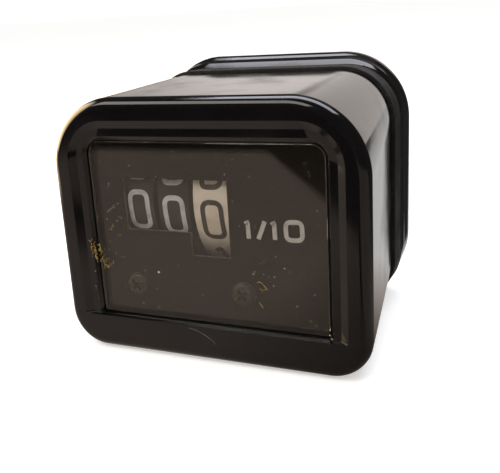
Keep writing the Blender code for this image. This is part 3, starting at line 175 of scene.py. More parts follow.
def loft(grid, wrap=False):
    """Quads between neighbouring rows of a grid of points; every row is a closed ring. The
    last row joins the first where wrap is set, and otherwise both end rows are filled."""
    grid = np.asarray(grid, float)
    rows, columns = grid.shape[:2]
    index = np.arange(rows * columns).reshape(rows, columns)
    upper = index if wrap else index[:-1]
    lower = np.roll(index, -1, 0) if wrap else index[1:]
    quads = np.stack([upper, np.roll(upper, -1, 1), np.roll(lower, -1, 1), lower], -1)
    faces = quads.reshape(-1, 4).tolist()
    if not wrap:
        faces += [index[0, ::-1].tolist(), index[-1].tolist()]
    return grid.reshape(-1, 3), faces


def together(shapes):
    """Several shapes as one: the points end to end, each face's numbers moved on to match."""
    points, faces, start = [], [], 0
    for some_points, some_faces in shapes:
        points.append(some_points)
        faces += [[corner + start for corner in face] for face in some_faces]
        start += len(some_points)
    return np.concatenate(points), faces


def about(axis, centre, radius, angle, height):
    """Points at a radius, angle and height round an axis X, Y or Z through a centre."""
    across = radius * np.cos(angle)
    up = radius * np.sin(angle)
    height = height + 0 * across
    order = {"X": (height, up, -across), "Y": (across, height, -up), "Z": (across, up, height)}
    return np.stack(order[axis], -1) + np.asarray(centre, float)


def rounds(profile, axis, centre, steps):
    """Rings of points round an axis, one for each (radius, height) point of a profile."""
    profile = np.array(profile, float)
    angle = np.linspace(0, 2 * np.pi, steps, endpoint=False)
    return about(axis, centre, profile[:, :1], angle, profile[:, 1:])


def turned(profile, axis, centre, steps=ROUND_STEPS, wrap=False):
    """Profile carried round an axis, as on a lathe."""
    return loft(rounds(profile, axis, centre, steps), wrap)


def arc(centre_r, centre_h, across, up, start, end, steps=6):
    """Quarter-round stretch of a profile: an ellipse's points between two angles in degrees."""
    angle = np.radians(np.linspace(start, end, steps + 1))
    return [
        (centre_r + across * c, centre_h + up * s) for c, s in zip(np.cos(angle), np.sin(angle))
    ]


def placed(name, data):
    """New object in the scene that holds the data."""
    made = bpy.data.objects.new(name, data)
    bpy.context.scene.collection.objects.link(made)
    return made


def mesh_object(name, shape, finish):
    """Object whose mesh has the shape's points, turned to metres, with faces outwards."""
    points, faces = shape
    mesh = bpy.data.meshes.new(name)
    mesh.from_pydata((points * MM).tolist(), [], faces)
    solid = bmesh.new()
    solid.from_mesh(mesh)
    if solid.calc_volume(signed=True) < 0:
        bmesh.ops.reverse_faces(solid, faces=solid.faces)
    solid.to_mesh(mesh)
    solid.free()
    mesh.materials.append(finish)
    return placed(name, mesh)


def settle(made):
    """Applies the modifiers, by taking the evaluated mesh as the object's own."""
    graph = bpy.context.evaluated_depsgraph_get()
    mesh = bpy.data.meshes.new_from_object(made.evaluated_get(graph))
    made.modifiers.clear()
    made.data = mesh


def piece(name, shape, finish, body="housing", tools=(), edge=0.0, sharp=34.0):
    """Finished piece on a body: the shape, with other shapes joined to it or cut from it in
    order, and with its edges eased by a narrow bevel so that they catch the light. The wide
    faces lead the shading, so that flats mirror flatly."""
    made = mesh_object(name, shape, finish)
    for number, (operation, tool_shape) in enumerate(tools):
        tool = mesh_object(f"{name}_tool_{number}", tool_shape, finish)
        modifier = made.modifiers.new(operation.title(), "BOOLEAN")
        modifier.operation = operation
        modifier.object = tool
        modifier.solver = "EXACT"
        settle(made)
        bpy.data.objects.remove(tool)
    if edge:
        bevel = made.modifiers.new("Eased edges", "BEVEL")
        bevel.width = edge * MM
        bevel.segments = 2
        bevel.limit_method = "ANGLE"
        bevel.angle_limit = math.radians(sharp)
        settle(made)
    made.data.shade_smooth()
    made.data.set_sharp_from_angle(angle=math.radians(sharp))
    weighted = made.modifiers.new("Normals by face area", "WEIGHTED_NORMAL")
    weighted.weight = 95
    weighted.keep_sharp = True
    settle(made)
    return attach(made, body)


def middle(node, axis):
    """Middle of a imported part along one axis."""
    low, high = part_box(node)
    index = "XYZ".index(axis)
    return (low[index] + high[index]) / 2 / MM


def stand_in(node, shape, finish, **more):
    """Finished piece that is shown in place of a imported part, on that part's own body."""
    made = piece(f"{node}_finished", shape, finish, BODY_OF[node], **more)
    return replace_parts(made, node)


# Material tools

def linear(hex_colour):
    """sRGB hex colour as linear red, green, blue and full alpha."""
    channels = [int(hex_colour[i:i + 2], 16) / 255 for i in (0, 2, 4)]
    return (*(c / 12.92 if c <= 0.04045 else ((c + 0.055) / 1.055) ** 2.4 for c in channels), 1.0)


def add(tree, kind, inputs=None, output=None, **settings):
    """Adds a shader node with its settings and links, and returns one output: the one that is
    named, or else the first in use. Inputs holds, for the name or number of a socket, a value,
    a hex colour or the output that feeds it."""
    made = tree.nodes.new(f"ShaderNode{kind}")
    for key, value in settings.items():
        setattr(made, key, value)
    for key, value in (inputs or {}).items():
        in_use = [socket for socket in made.inputs if socket.enabled and socket.name == key]
        socket = in_use[0] if in_use else made.inputs[key]
        if isinstance(value, bpy.types.NodeSocket):
            tree.links.new(value, socket)
        else:
            socket.default_value = linear(value) if isinstance(value, str) else value
    if output:
        return made.outputs[output]
    return next((found for found in made.outputs if found.enabled), None)


def new_material(name):
    """Empty material and its tree."""
    made = bpy.data.materials.new(name)
    made.use_nodes = True
    made.node_tree.nodes.clear()
    return made, made.node_tree


def finished(made, plain, colour, gloss, relief=None):
    """Gives a material its surface, one Principled shader. Plain holds its constant inputs; the
    colour and the gloss are each a 0 to 1 pattern with the two values it runs between, and
    the relief is a pattern with its strength and its depth in mm."""
    tree = made.node_tree
    share, first, second = colour
    dull, smooth, rough = gloss
    inputs = {
        **plain,
        "Base Color": add(tree, "Mix", {"Factor": share, "A": first, "B": second}, data_type="RGBA"),
        "Roughness": add(tree, "MapRange", {"Value": dull, "To Min": smooth, "To Max": rough}),
    }
    if relief:
        pattern, strength, depth = relief
        bump = {"Height": pattern, "Strength": strength, "Distance": depth * MM}
        inputs["Normal"] = add(tree, "Bump", bump)
    add(tree, "OutputMaterial", {"Surface": add(tree, "BsdfPrincipled", inputs)})
    return made


def mottle(tree, size, low, high, stretch=(1, 1, 1), detail=4.0):
    """Soft blotches of a size in mm, 0 to 1: noise over the object's own coordinates, spread so
    that its values from low to high fill the range. Stretch draws the blotches out by axis."""
    place = add(tree, "TexCoord", output="Object")
    scale = [1000 / size / share for share in stretch]
    grid = add(tree, "Mapping", {"Vector": place, "Scale": scale})
    noise = add(tree, "TexNoise", {"Vector": grid, "Scale": 1.0, "Detail": detail})
    return add(tree, "MapRange", {"Value": noise, "From Min": low, "From Max": high})


def settled_dust(tree, size, low, high):
    """Dust in grains of a size in mm, thick where a face looks up and thin where it hangs."""
    grains = mottle(tree, size, low, high, detail=6.0)
    drifts = mottle(tree, size * 12, 0.35, 0.70)
    normal = add(tree, "NewGeometry", output="Normal")
    up = add(tree, "SeparateXYZ", {0: normal}, output="Z")
    facing = add(tree, "MapRange", {"Value": up, "From Min": -0.3, "From Max": 0.9, "To Min": 0.25})
    heaped = add(tree, "Math", {0: grains, 1: drifts}, operation="MULTIPLY")
    return add(tree, "Math", {0: heaped, 1: facing}, operation="MULTIPLY")


# Finishes

def polished_abs():
    """ABS moulded in a polished tool: deep black and glossy, with handling marks 9 mm wide
    that dull the gloss, a few hairline scratches and a little dust."""
    made, tree = new_material("abs_moulded_gloss_black")
    dust = settled_dust(tree, 0.5, 0.60, 0.80)
    marks = mottle(tree, 9.0, 0.48, 0.74)
    scratches = mottle(tree, 0.35, 0.79, 0.84, stretch=(30, 30, 1.2), detail=1.0)
    worn = add(tree, "Math", {0: dust, 1: scratches}, operation="MAXIMUM")
    share = add(tree, "MapRange", {"Value": worn, "To Max": 0.07})
    dull = add(tree, "Math", {0: marks, 1: worn}, operation="MAXIMUM")
    return finished(made, {"IOR": 1.5}, (share, "0C0B0B", "A39A8C"), (dull, 0.08, 0.18))


def clear_acrylic():
    """Acrylic moulded clear: it bends and mirrors like glass, under a thin film of grime that
    was wiped sideways, and fine specks. Shadow rays go straight through, so that it lights the dial."""
    made, tree = new_material("acrylic_moulded_clear")
    glass = {"IOR": 1.49, "Transmission Weight": 1.0, "Roughness": 0.0, "Base Color": "FBF9F4"}
    clear = add(tree, "BsdfPrincipled", glass)
    wiped = mottle(tree, 2.0, 0.3, 0.75, stretch=(12, 1, 1))
    film = add(tree, "MapRange", {"Value": wiped, "To Min": 0.001, "To Max": 0.012})
    specks = mottle(tree, 0.45, 0.74, 0.80, detail=2.0)
    specks = add(tree, "MapRange", {"Value": specks, "To Max": 0.06})
    grime = add(tree, "Math", {0: film, 1: specks}, operation="ADD")
    dirt = add(tree, "BsdfDiffuse", {"Color": "A89A80"})
    soiled = add(tree, "MixShader", {0: grime, 1: clear, 2: dirt})
    shadow = add(tree, "LightPath", output="Is Shadow Ray")
    through = add(tree, "BsdfTransparent")
    both = add(tree, "MixShader", {0: shadow, 1: soiled, 2: through})
    add(tree, "OutputMaterial", {"Surface": both})
    return made


def moulded_rubber():
    """Rubber moulded and aged: matt dark grey with a bloom in 5 mm clouds and fine pores."""
    made, tree = new_material("rubber_moulded_matt")
    bloom = mottle(tree, 5.0, 0.35, 0.7)
    dust = settled_dust(tree, 0.5, 0.45, 0.75)
    base = add(tree, "Mix", {"Factor": bloom, "A": "131212", "B": "1F1E1D"}, data_type="RGBA")
    dusty = add(tree, "MapRange", {"Value": dust, "To Max": 0.30})
    pores = mottle(tree, 0.3, 0.3, 0.7)
    plain = {"IOR": 1.5, "Specular IOR Level": 0.3}
    return finished(made, plain, (dusty, base, "8C8375"), (bloom, 0.52, 0.78), (pores, 0.4, 0.02))


def dial_paint():
    """Matt black paint sprayed on sheet: nearly black, with faint level streaks 2 mm apart that
    a wiping cloth left. The cut edges of the window show the bare metal."""
    made, tree = new_material("paint_sprayed_matt_black")
    streaks = mottle(tree, 2.2, 0.35, 0.75, stretch=(14, 1, 1))
    paint = add(tree, "Mix", {"Factor": streaks, "A": "080706", "B": "12100D"}, data_type="RGBA")
    normal = add(tree, "NewGeometry", output="Normal")
    depthwise = add(tree, "SeparateXYZ", {0: normal}, output="Y")
    flat = add(tree, "Math", {0: depthwise}, operation="ABSOLUTE")
    bare = add(tree, "Math", {0: flat, 1: 0.5}, operation="LESS_THAN")
    grit = mottle(tree, 0.35, 0.3, 0.7)
    plain = {"IOR": 1.5, "Specular IOR Level": 0.1, "Metallic": bare}
    return finished(made, plain, (bare, paint, "8B8578"), (streaks, 0.50, 0.70), (grit, 0.08, 0.01))


def wheel_moulding(name, clean, worn, gloss):
    """Hard plastic moulded satin, with turning lines 0.3 mm apart round the rim and faint
    soiling in 4 mm patches."""
    made, tree = new_material(name)
    soil = mottle(tree, 4.0, 0.42, 0.78)
    lines = mottle(tree, 0.3, 0.3, 0.7, stretch=(1, 40, 40), detail=1.0)
    plain = {"IOR": 1.5}
    return finished(made, plain, (soil, clean, worn), (soil, gloss, gloss + 0.15), (lines, 0.2, 0.01))


def matt_film(name, ior, size, low, high, first, second, smooth, rough):
    """Dull stuff with no relief of its own, stamped ink or dry dirt: uneven in colour and gloss
    in patches of a size in mm."""
    made, tree = new_material(name)
    patches = mottle(tree, size, low, high)
    return finished(made, {"IOR": ior}, (patches, first, second), (patches, smooth, rough))


def zinc_plate():
    """Steel plated with zinc and passivated: bright grey with a slight warm bloom in 3 mm
    clouds, and the fine rolling lines of the sheet under it."""
    made, tree = new_material("steel_zinc_plated")
    bloom = mottle(tree, 3.0, 0.35, 0.7)
    lines = mottle(tree, 0.25, 0.3, 0.7, stretch=(1, 30, 1), detail=1.0)
    dust = settled_dust(tree, 0.4, 0.55, 0.8)
    plate = add(tree, "Mix", {"Factor": bloom, "A": "B5B4AE", "B": "A79F84"}, data_type="RGBA")
    dusty = add(tree, "MapRange", {"Value": dust, "To Max": 0.5})
    plain = {"Metallic": 1.0}
    return finished(made, plain, (dusty, plate, "5A5246"), (bloom, 0.26, 0.44), (lines, 0.15, 0.01))


def blackened_steel():
    """Steel chemically blackened, worn brown on its edges."""
    made, tree = new_material("steel_blackened")
    wear = mottle(tree, 0.8, 0.38, 0.72)
    edges = add(tree, "NewGeometry", output="Pointiness")
    rub = add(tree, "MapRange", {"Value": edges, "From Min": 0.50, "From Max": 0.58})
    rub = add(tree, "MapRange", {"Value": rub, "To Max": 0.30})
    brown = add(tree, "Mix", {"Factor": wear, "A": "120F0C", "B": "2F261D"}, data_type="RGBA")
    grit = mottle(tree, 0.25, 0.3, 0.7)
    plain = {"Metallic": 0.5}
    return finished(made, plain, (rub, brown, "8D8069"), (wear, 0.34, 0.58), (grit, 0.4, 0.02))


def natural_nylon():
    """Nylon moulded in its natural colour: milky, with light passing a little way into it."""
    made, tree = new_material("nylon_moulded_natural")
    shade = mottle(tree, 3.0, 0.3, 0.75)
    plain = {"IOR": 1.53, "Subsurface Weight": 0.25, "Subsurface Scale": 0.6 * MM}
    return finished(made, plain, (shade, "D8D0B8", "BBAE8C"), (shade, 0.35, 0.5))


def turned_brass():
    """Brass turned on a lathe and tarnished: yellow metal, browner in 2.5 mm patches, with tool
    lines 0.2 mm apart."""
    made, tree = new_material("brass_turned")
    tarnish = mottle(tree, 2.5, 0.35, 0.72)
    lines = mottle(tree, 0.2, 0.3, 0.7, stretch=(30, 1, 30), detail=1.0)
    plain = {"Metallic": 1.0}
    return finished(made, plain, (tarnish, "BF9A55", "7C6136"), (tarnish, 0.24, 0.46), (lines, 0.2, 0.01))


gloss_black = polished_abs()
acrylic = clear_acrylic()
rubber = moulded_rubber()
dial_black = dial_paint()
wheel_black = wheel_moulding("abs_moulded_satin_black", "1C1B19", "2B2823", 0.38)
wheel_cream = wheel_moulding("abs_moulded_cream", "E4DCD0", "C2B7A6", 0.42)
white_ink = matt_film("ink_stamped_white", 1.45, 1.5, 0.45, 0.8, "CDD0D6", "A4A5A8", 0.55, 0.75)
black_ink = matt_film("ink_stamped_black", 1.45, 1.5, 0.45, 0.8, "2A2824", "49443B", 0.55, 0.75)
grey_ink = matt_film("ink_printed_grey", 1.45, 1.5, 0.45, 0.8, "C2C1C0", "98958F", 0.55, 0.75)
zinc = zinc_plate()
dark_steel = blackened_steel()
nylon = natural_nylon()
brass = turned_brass()
straw = matt_film("straw_dry_chaff", 1.4, 0.6, 0.35, 0.65, "CBA553", "6B5228", 0.6, 0.9)
lint = matt_film("lint_grey", 1.4, 0.5, 0.35, 0.65, "CFC9BC", "8F8778", 0.6, 0.9)

FINISHES = {
    "case_black": gloss_black, "lens_clear": acrylic, "rubber_black": rubber,
    "dial_black": dial_black, "screw_dark": dark_steel, "zinc_steel": zinc,
    "wheel_black": wheel_black, "wheel_cream": wheel_cream, "nylon": nylon, "brass": brass,
}
for node_name, node_object in NODES.items():
    node_object.data.materials.clear()
    node_object.data.materials.append(FINISHES[SLOT_OF[node_name]])


# Case

def case_outline(depth, inset=0.0):
    """Outer outline of the body, which narrows evenly from the bezel back to its end."""
    share = min(max((depth - EDGE_DEPTH) / (BODY_END - EDGE_DEPTH), 0.0), 1.0)
    half = BEZEL_HALF + (REAR_HALF - BEZEL_HALF) * share
    top = BEZEL_TOP + (REAR_TOP - BEZEL_TOP) * share
    bottom = -BEZEL_TOP + (REAR_BOTTOM + BEZEL_TOP) * share
    top_radius = BEZEL_TOP_RADIUS + (REAR_TOP_RADIUS - BEZEL_TOP_RADIUS) * share
    bottom_radius = BEZEL_BOTTOM_RADIUS + (REAR_BOTTOM_RADIUS - BEZEL_BOTTOM_RADIUS) * share
    return outline(half - inset, top - inset, bottom + inset, top_radius - inset, bottom_radius - inset)


def window_outline(inset, drop=0.0):
    """Opening in the bezel: its top and sides step in by the inset, and its sill by the drop."""
    radius = max(9.0 - 1.5 * inset, APERTURE_RADIUS)
    return outline(WINDOW_HALF - inset, WINDOW_TOP - inset, WINDOW_SILL + drop, radius, SHARP_RADIUS)


def aperture(clearance):
    """Outline of the hole for the lens, drawn in by a clearance."""
    half, top, bottom = APERTURE_HALF - clearance, APERTURE_TOP - clearance, APERTURE_BOTTOM + clearance
    return outline(half, top, bottom, APERTURE_RADIUS - clearance, SHARP_RADIUS - clearance)


def boss_places():
    """Middles of the four screw bosses in the corners of the spigot."""
    inset = SPIGOT_INSET + SPIGOT_WALL
    places = []
    for side in (-1, 1):
        for edge, radius, up in ((REAR_TOP, REAR_TOP_RADIUS, 1), (REAR_BOTTOM, REAR_BOTTOM_RADIUS, -1)):
            inner = radius - inset
            reach = (inner - BOSS_RADIUS + 0.6) * math.sqrt(0.5)
            places.append((side * (REAR_HALF - inset - inner + reach), edge + up * (reach - inset - inner)))
    return places


def bar(axis, centre, radius, low, high):
    """Round bar between two heights, used to join or to cut."""
    return turned([(radius, low), (radius, high)], axis, centre, SMALL_STEPS)


def make_case():
    """One moulding, skinned along a profile that goes over the rounded front edge, back along
    the tapered body, round the spigot, forward inside and out through the stepped window."""
    rings = []
    for angle in np.linspace(0, np.pi / 2, EDGE_STEPS + 1):
        rounding = case_outline(EDGE_DEPTH, EDGE_INSET * (1 - math.sin(angle)))
        rings.append(ring(rounding, EDGE_DEPTH * (1 - math.cos(angle))))
    inner = case_outline(BODY_END, SPIGOT_INSET + SPIGOT_WALL)
    rings += [
        ring(case_outline(BODY_END), BODY_END),
        ring(case_outline(BODY_END, SPIGOT_INSET), BODY_END),
        ring(case_outline(BODY_END, SPIGOT_INSET), SPIGOT_END),
        ring(inner, SPIGOT_END), ring(inner, BODY_END),
        ring(case_outline(BODY_END - CASE_WALL, CASE_WALL), BODY_END - CASE_WALL),
        ring(case_outline(EDGE_DEPTH, CASE_WALL), WALL_BACK),
        ring(aperture(0.0), WALL_BACK), ring(aperture(0.0), APERTURE_DEPTH),
        ring(window_outline(CHAMFER + LEDGE, 0.18), LEDGE_DEPTH),
        ring(window_outline(CHAMFER, 0.15), LEDGE_DEPTH), ring(window_outline(0.0), 0.0),
    ]
    places = [(x, -DEPTH, z) for x, z in boss_places()]
    tools = [(JOIN, bar("Y", place, BOSS_RADIUS, BODY_END, SPIGOT_END)) for place in places]
    tools += [(CUT, bar("Y", place, PILOT_RADIUS, BODY_END + 1.5, SPIGOT_END + 1)) for place in places]
    tools.append((CUT, bar("X", (0, AXIS_Y, AXIS_Z), GROMMET_HOLE, -36.0, -28.0)))
    stand_in("case", loft(rings, wrap=True), gloss_black, tools=tools, edge=0.14, sharp=24.0)


def make_lens():
    """Clear boss that fills the aperture, with its front edge turned over, and a flange behind."""
    rings = [
        ring(aperture(GAP + 0.16), APERTURE_DEPTH), ring(aperture(GAP + 0.05), APERTURE_DEPTH + 0.05),
        ring(aperture(GAP), APERTURE_DEPTH + 0.16), ring(aperture(GAP), LENS_LIP_FRONT),
        ring(aperture(-LENS_LIP), LENS_LIP_FRONT), ring(aperture(-LENS_LIP), LENS_LIP_BACK),
    ]
    stand_in("lens", loft(rings), acrylic, sharp=10.0)


def make_rear_seal():
    """Rubber band round the joint, with its two outer edges rounded."""
    def band(inset):
        return case_outline(BODY_END, inset - 0.7)
    front, back = BODY_END + GAP, SPIGOT_END
    rings = [
        ring(band(0.3), front), ring(band(0.09), front + 0.09), ring(band(0.0), front + 0.3),
        ring(band(0.0), back - 0.2), ring(band(0.06), back - 0.05), ring(band(0.2), back),
        ring(band(2.3), back), ring(band(2.3), front),
    ]
    stand_in("rear_seal", loft(rings, wrap=True), rubber)


def make_rear_base():
    """Pan whose wall steps out to a rounded rim: rings between the seal's outline and the
    rim's, each a share of the way, then the rim rolling over on to the flat back."""
    def rim(inset):
        radius = RIM_RADIUS - inset
        return outline(RIM_HALF - inset, RIM_TOP - inset, RIM_BOTTOM + inset, radius, radius)
    seal = case_outline(BODY_END, -0.7)
    shares = (
        (0.0, BASE_FRONT), (0.02, 43.1), (0.16, 43.5), (0.40, 44.2), (0.45, 44.4), (0.48, 44.7),
        (0.55, 45.4), (0.63, 45.9), (0.75, 46.4), (0.85, 46.8), (0.92, 47.2), (0.96, 47.6),
    )
    rings = [ring(seal + (rim(0.0) - seal) * share, depth) for share, depth in shares]
    for angle in np.linspace(0, np.pi / 2, EDGE_STEPS + 1):
        rings.append(ring(rim(1.7 * (1 - math.cos(angle))), 48.4 + 2.1 * math.sin(angle)))
    pocket = [ring(case_outline(BODY_END, 1.8), depth) for depth in (CUT_FROM, BASE_FLOOR)]
    bosses = [(x, -DEPTH, z) for x, z in boss_places()]
    bores = bosses + [(middle("frame_screw_" + number, "X"), -DEPTH, middle("frame_screw_" + number, "Z"))
                      for number in "123"]
    bore = [(PILOT_RADIUS, CUT_FROM), (PILOT_RADIUS, HEAD_SEAT), (HEAD_HOLE, HEAD_SEAT), (HEAD_HOLE, CUT_TO)]
    tools = [(CUT, loft(pocket))]
    tools += [(JOIN, bar("Y", place, BOSS_RADIUS, BASE_FRONT, HEAD_SEAT)) for place in bosses]
    tools += [(CUT, turned(bore, "Y", place, SMALL_STEPS)) for place in bores]
    seats = (("mount_stud_left", 2.8, 7.3), ("mount_stud_right", 2.8, 7.3), ("cable_collar", 6.3, 8.38))
    for node, hole, seat in seats:
        profile = [(hole, BASE_FLOOR - 1), (hole, MOUNT_SEAT), (seat, MOUNT_SEAT), (seat, CUT_TO)]
        tools.append((CUT, turned(profile, "Y", (middle(node, "X"), -DEPTH, middle(node, "Z")))))
    stand_in("rear_base", loft(rings), gloss_black, tools=tools, edge=0.12, sharp=28.0)


make_case()
make_lens()
make_rear_seal()
make_rear_base()


# Number wheels and their figures

def ring_radius(share, tip, root):
    """Radius at a share of one tooth's pitch: flat over the tip, flat over the root, and
    straight between."""
    return np.interp(share, [-0.13, 0.13, 0.30, 0.70, 0.87], [tip, tip, root, root, tip])


def make_wheel(node, toothed, finish):
    """Wheel skinned along one profile: bore, hub, web, locking ring, rim and ring of teeth."""
    low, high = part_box(node)
    left, width = low.x / MM, (high.x - low.x) / MM
    share = np.tile([-0.13, -0.04, 0.04, 0.13, 0.21, 0.30, 0.40, 0.50, 0.60, 0.70, 0.79], RING_TEETH)
    tooth = np.repeat(np.arange(RING_TEETH), len(share) // RING_TEETH)
    angle = (tooth + share) * 2 * np.pi / RING_TEETH
    locking = np.where(tooth == 0, ring_radius(share, LOCKING_RADIUS, NOTCH_RADIUS), LOCKING_RADIUS)
    driven = ring_radius(share, TOOTH_TIP, TOOTH_ROOT) if toothed else LOCKING_RADIUS + 0 * share
    lines = [
        (SHAFT_HOLE, 0), (HUB_RADIUS, 0), (HUB_RADIUS, WHEEL_CAVITY), (locking, WHEEL_CAVITY),
        (locking, 0), (WHEEL_RADIUS - 0.25, 0), (WHEEL_RADIUS - 0.07, 0.07), (WHEEL_RADIUS, 0.25),
        (WHEEL_RADIUS, width - 0.25), (WHEEL_RADIUS - 0.07, width - 0.07),
        (WHEEL_RADIUS - 0.25, width), (driven, width), (driven, width - WHEEL_CAVITY),
        (HUB_RADIUS, width - WHEEL_CAVITY), (HUB_RADIUS, width), (SHAFT_HOLE, width),
    ]
    rows = [about("X", (left, AXIS_Y, AXIS_Z), radius + 0 * angle, angle, height) for radius, height in lines]
    stand_in(node, loft(rows, wrap=True), finish)


# Figures as the lines that a pen would draw: x and z run from -1 to 1 over the figure's box,
# and True closes a line on itself.
FIGURES = {
    "0": [([(-1, -1), (1, -1), (1, 1), (-1, 1)], True)],
    "1": [([(-0.75, 0.62), (0.05, 1), (0.05, -1)], False)],
    "2": [([(-1, 0.5), (-1, 1), (1, 1), (1, 0), (-1, 0), (-1, -1), (1, -1)], False)],
    "3": [([(-1, 0.5), (-1, 1), (1, 1), (1, -1), (-1, -1), (-1, -0.5)], False), ([(-0.3, 0), (1, 0)], False)],
    "4": [([(0.45, 1), (-1, -0.4), (1, -0.4)], False), ([(0.45, 1), (0.45, -1)], False)],
    "5": [([(1, 1), (-1, 1), (-1, 0.1), (1, 0.1), (1, -1), (-1, -1), (-1, -0.5)], False)],
    "6": [([(1, 0.55), (1, 1), (-1, 1), (-1, -1), (1, -1), (1, 0.1), (-1, 0.1)], False)],
    "7": [([(-1, 1), (1, 1), (1, 0.6), (-0.1, -1)], False)],
    "8": [([(-1, -1), (1, -1), (1, 1), (-1, 1)], True), ([(-1, 0), (1, 0)], False)],
    "9": [([(-1, -0.55), (-1, -1), (1, -1), (1, 1), (-1, 1), (-1, -0.1), (1, -0.1)], False)],
    "/": [([(-0.8, -1), (0.8, 1)], False)],
}


def pen_line(points, closed, radius, step=0.35):
    """Line through the points in mm with its corners turned by a radius: each corner becomes a
    quadratic curve from one run to the next, and the runs are cut into short steps."""
    points = np.array(points, float)
    count = len(points)
    line = [] if closed else [points[0]]
    for k in range(count) if closed else range(1, count - 1):
        before, corner, after = points[k - 1], points[k], points[(k + 1) % count]
        back, on = before - corner, after - corner
        reach = min(radius, 0.5 * np.linalg.norm(back), 0.5 * np.linalg.norm(on))
        start = corner + back / np.linalg.norm(back) * reach
        end = corner + on / np.linalg.norm(on) * reach
        t = np.linspace(0, 1, 9)[:, None]
        line += list((1 - t) ** 2 * start + 2 * t * (1 - t) * corner + t ** 2 * end)
    line = np.array(line + ([line[0]] if closed else [points[-1]]))
    run = np.append(0, np.cumsum(np.linalg.norm(np.diff(line, axis=0), axis=1)))
    even = np.linspace(0, run[-1], max(4, int(run[-1] / step)) + 1)
    line = np.stack([np.interp(even, run, line[:, axis]) for axis in (0, 1)], -1)
    return line[:-1] if closed else line


def ribbon(line, closed, width, base, relief):
    """Flat stroke along a line: at each point four corners, half a width to either side along
    the line's normal, at the base and at the relief."""
    if closed:
        along = np.roll(line, -1, 0) - np.roll(line, 1, 0)
    else:
        along = np.gradient(line, axis=0)
    along /= np.linalg.norm(along, axis=1)[:, None]
    side = np.stack([along[:, 1], -along[:, 0]], -1) * width / 2
    corners = [(-side, base), (-side, relief), (side, relief), (side, base)]
    rows = [np.column_stack([line + offset, np.full(len(line), height)]) for offset, height in corners]
    return np.stack(rows, 1)


def figure(sign, width, height, stroke, corner):
    """Grids of corners (x, z, relief) for every stroke of one figure about its middle. A later
    stroke stands a hair higher, so that no two tops lie in one plane."""
    grids = []
    for number, (points, closed) in enumerate(FIGURES[sign]):
        scaled = np.array(points, float) * [(width - stroke) / 2, (height - stroke) / 2]
        line = pen_line(scaled, closed, corner)
        grids.append((ribbon(line, closed, stroke, -0.05, FIGURE_RELIEF + 0.004 * number), closed))
    return grids


def make_wheel_figures(node, centre_x, zero_drop, finish):
    """Ten figures stamped round a wheel, each height on the figure bent to an angle round the
    axis; the zero stands below the level of the axis by an angle in degrees."""
    shapes = []
    for number in range(10):
        for grid, closed in figure(str(number), FIGURE_WIDTH, FIGURE_HEIGHT, FIGURE_STROKE, FIGURE_CORNER):
            middle_angle = math.radians(-zero_drop - 36 * number)
            angle = middle_angle + grid[..., 1] / WHEEL_RADIUS
            radius = WHEEL_RADIUS + grid[..., 2]
            points = np.stack([
                centre_x + grid[..., 0], AXIS_Y - radius * np.cos(angle), AXIS_Z + radius * np.sin(angle),
            ], -1)
            shapes.append(loft(points, wrap=closed))
    made = piece(f"{BODY_OF[node]}_figures", together(shapes), finish, BODY_OF[node], sharp=30.0)


def make_dial_legend():
    """The counter's unit, one tenth, printed on the dial beside the wheels and slightly turned."""
    tilt = math.radians(1.5)
    shapes = []
    for sign, x, width in (("1", 8.2, 2.2), ("/", 11.2, 3.0), ("1", 14.0, 2.2), ("0", 18.2, 4.4)):
        for grid, closed in figure(sign, width, 4.7, 0.95, 1.2):
            across, up = x + grid[..., 0], grid[..., 1]
            points = np.stack([
                across * math.cos(tilt) - up * math.sin(tilt), DIAL_FRONT_Y - grid[..., 2],
                0.1 + across * math.sin(tilt) + up * math.cos(tilt),
            ], -1)
            shapes.append(loft(points, wrap=closed))
    made = piece("dial_legend", together(shapes), grey_ink, sharp=30.0)


make_wheel("tens_wheel", True, wheel_black)
make_wheel("ones_wheel", True, wheel_black)
make_wheel("tenths_wheel", False, wheel_cream)
make_wheel_figures("tens_wheel", -18.0, 6.2, white_ink)
make_wheel_figures("ones_wheel", -9.4, 9.3, white_ink)
make_wheel_figures("tenths_wheel", -0.35, 11.3, black_ink)
make_dial_legend()


# Turned and threaded pieces

def cross_cutter(centre, facing, turn):
    """Cross recess: two tapered slots at right angles, long and wide at the head's top and
    short and narrow at the bottom. Facing is -1 for a head towards the front."""
    shapes = []
    for quarter in (0, math.pi / 2):
        across = np.array([math.cos(turn + quarter), 0, math.sin(turn + quarter)])
        beside = np.array([-math.sin(turn + quarter), 0, math.cos(turn + quarter)])
        rows = []
        for half_length, half_width, height in ((1.65, 0.42, 1.9), (1.50, 0.36, 1.35), (0.55, 0.22, 0.25)):
            corners = ((1, 1), (-1, 1), (-1, -1), (1, -1))
            rows.append([
                np.add(centre, (0, facing * height, 0)) + a * half_length * across + b * half_width * beside
                for a, b in corners
            ])
        shapes.append((CUT, loft(rows)))
    return shapes


def make_screw(node, facing, turn):
    """Pan-head screw: a dished-over head with a cross recess, a plain round shank, and a short
    point."""
    x, z = middle(node, "X"), middle(node, "Z")
    low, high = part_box(node)
    head_top = (low.y if facing < 0 else high.y) / MM
    end = (high.y if facing < 0 else low.y) / MM
    under = head_top - facing * 1.5
    length = abs(end - under)
    profile = [(0.6, -1.5), (1.3, -1.47)] + arc(1.3, -0.55, 1.32, 0.92, -90, 0, 8)[1:]
    profile += [(SCREW_HEAD, 0), (SCREW_RADIUS, 0)]
    profile += [(SCREW_RADIUS, length - SCREW_POINT), (SCREW_RADIUS - SCREW_POINT, length)]
    profile = [(radius, -facing * height) for radius, height in profile]
    centre = (x, under, z)
    tools = cross_cutter(centre, facing, turn)
    stand_in(node, turned(profile, "Y", centre, 64), dark_steel, tools=tools, edge=0.05, sharp=30.0)


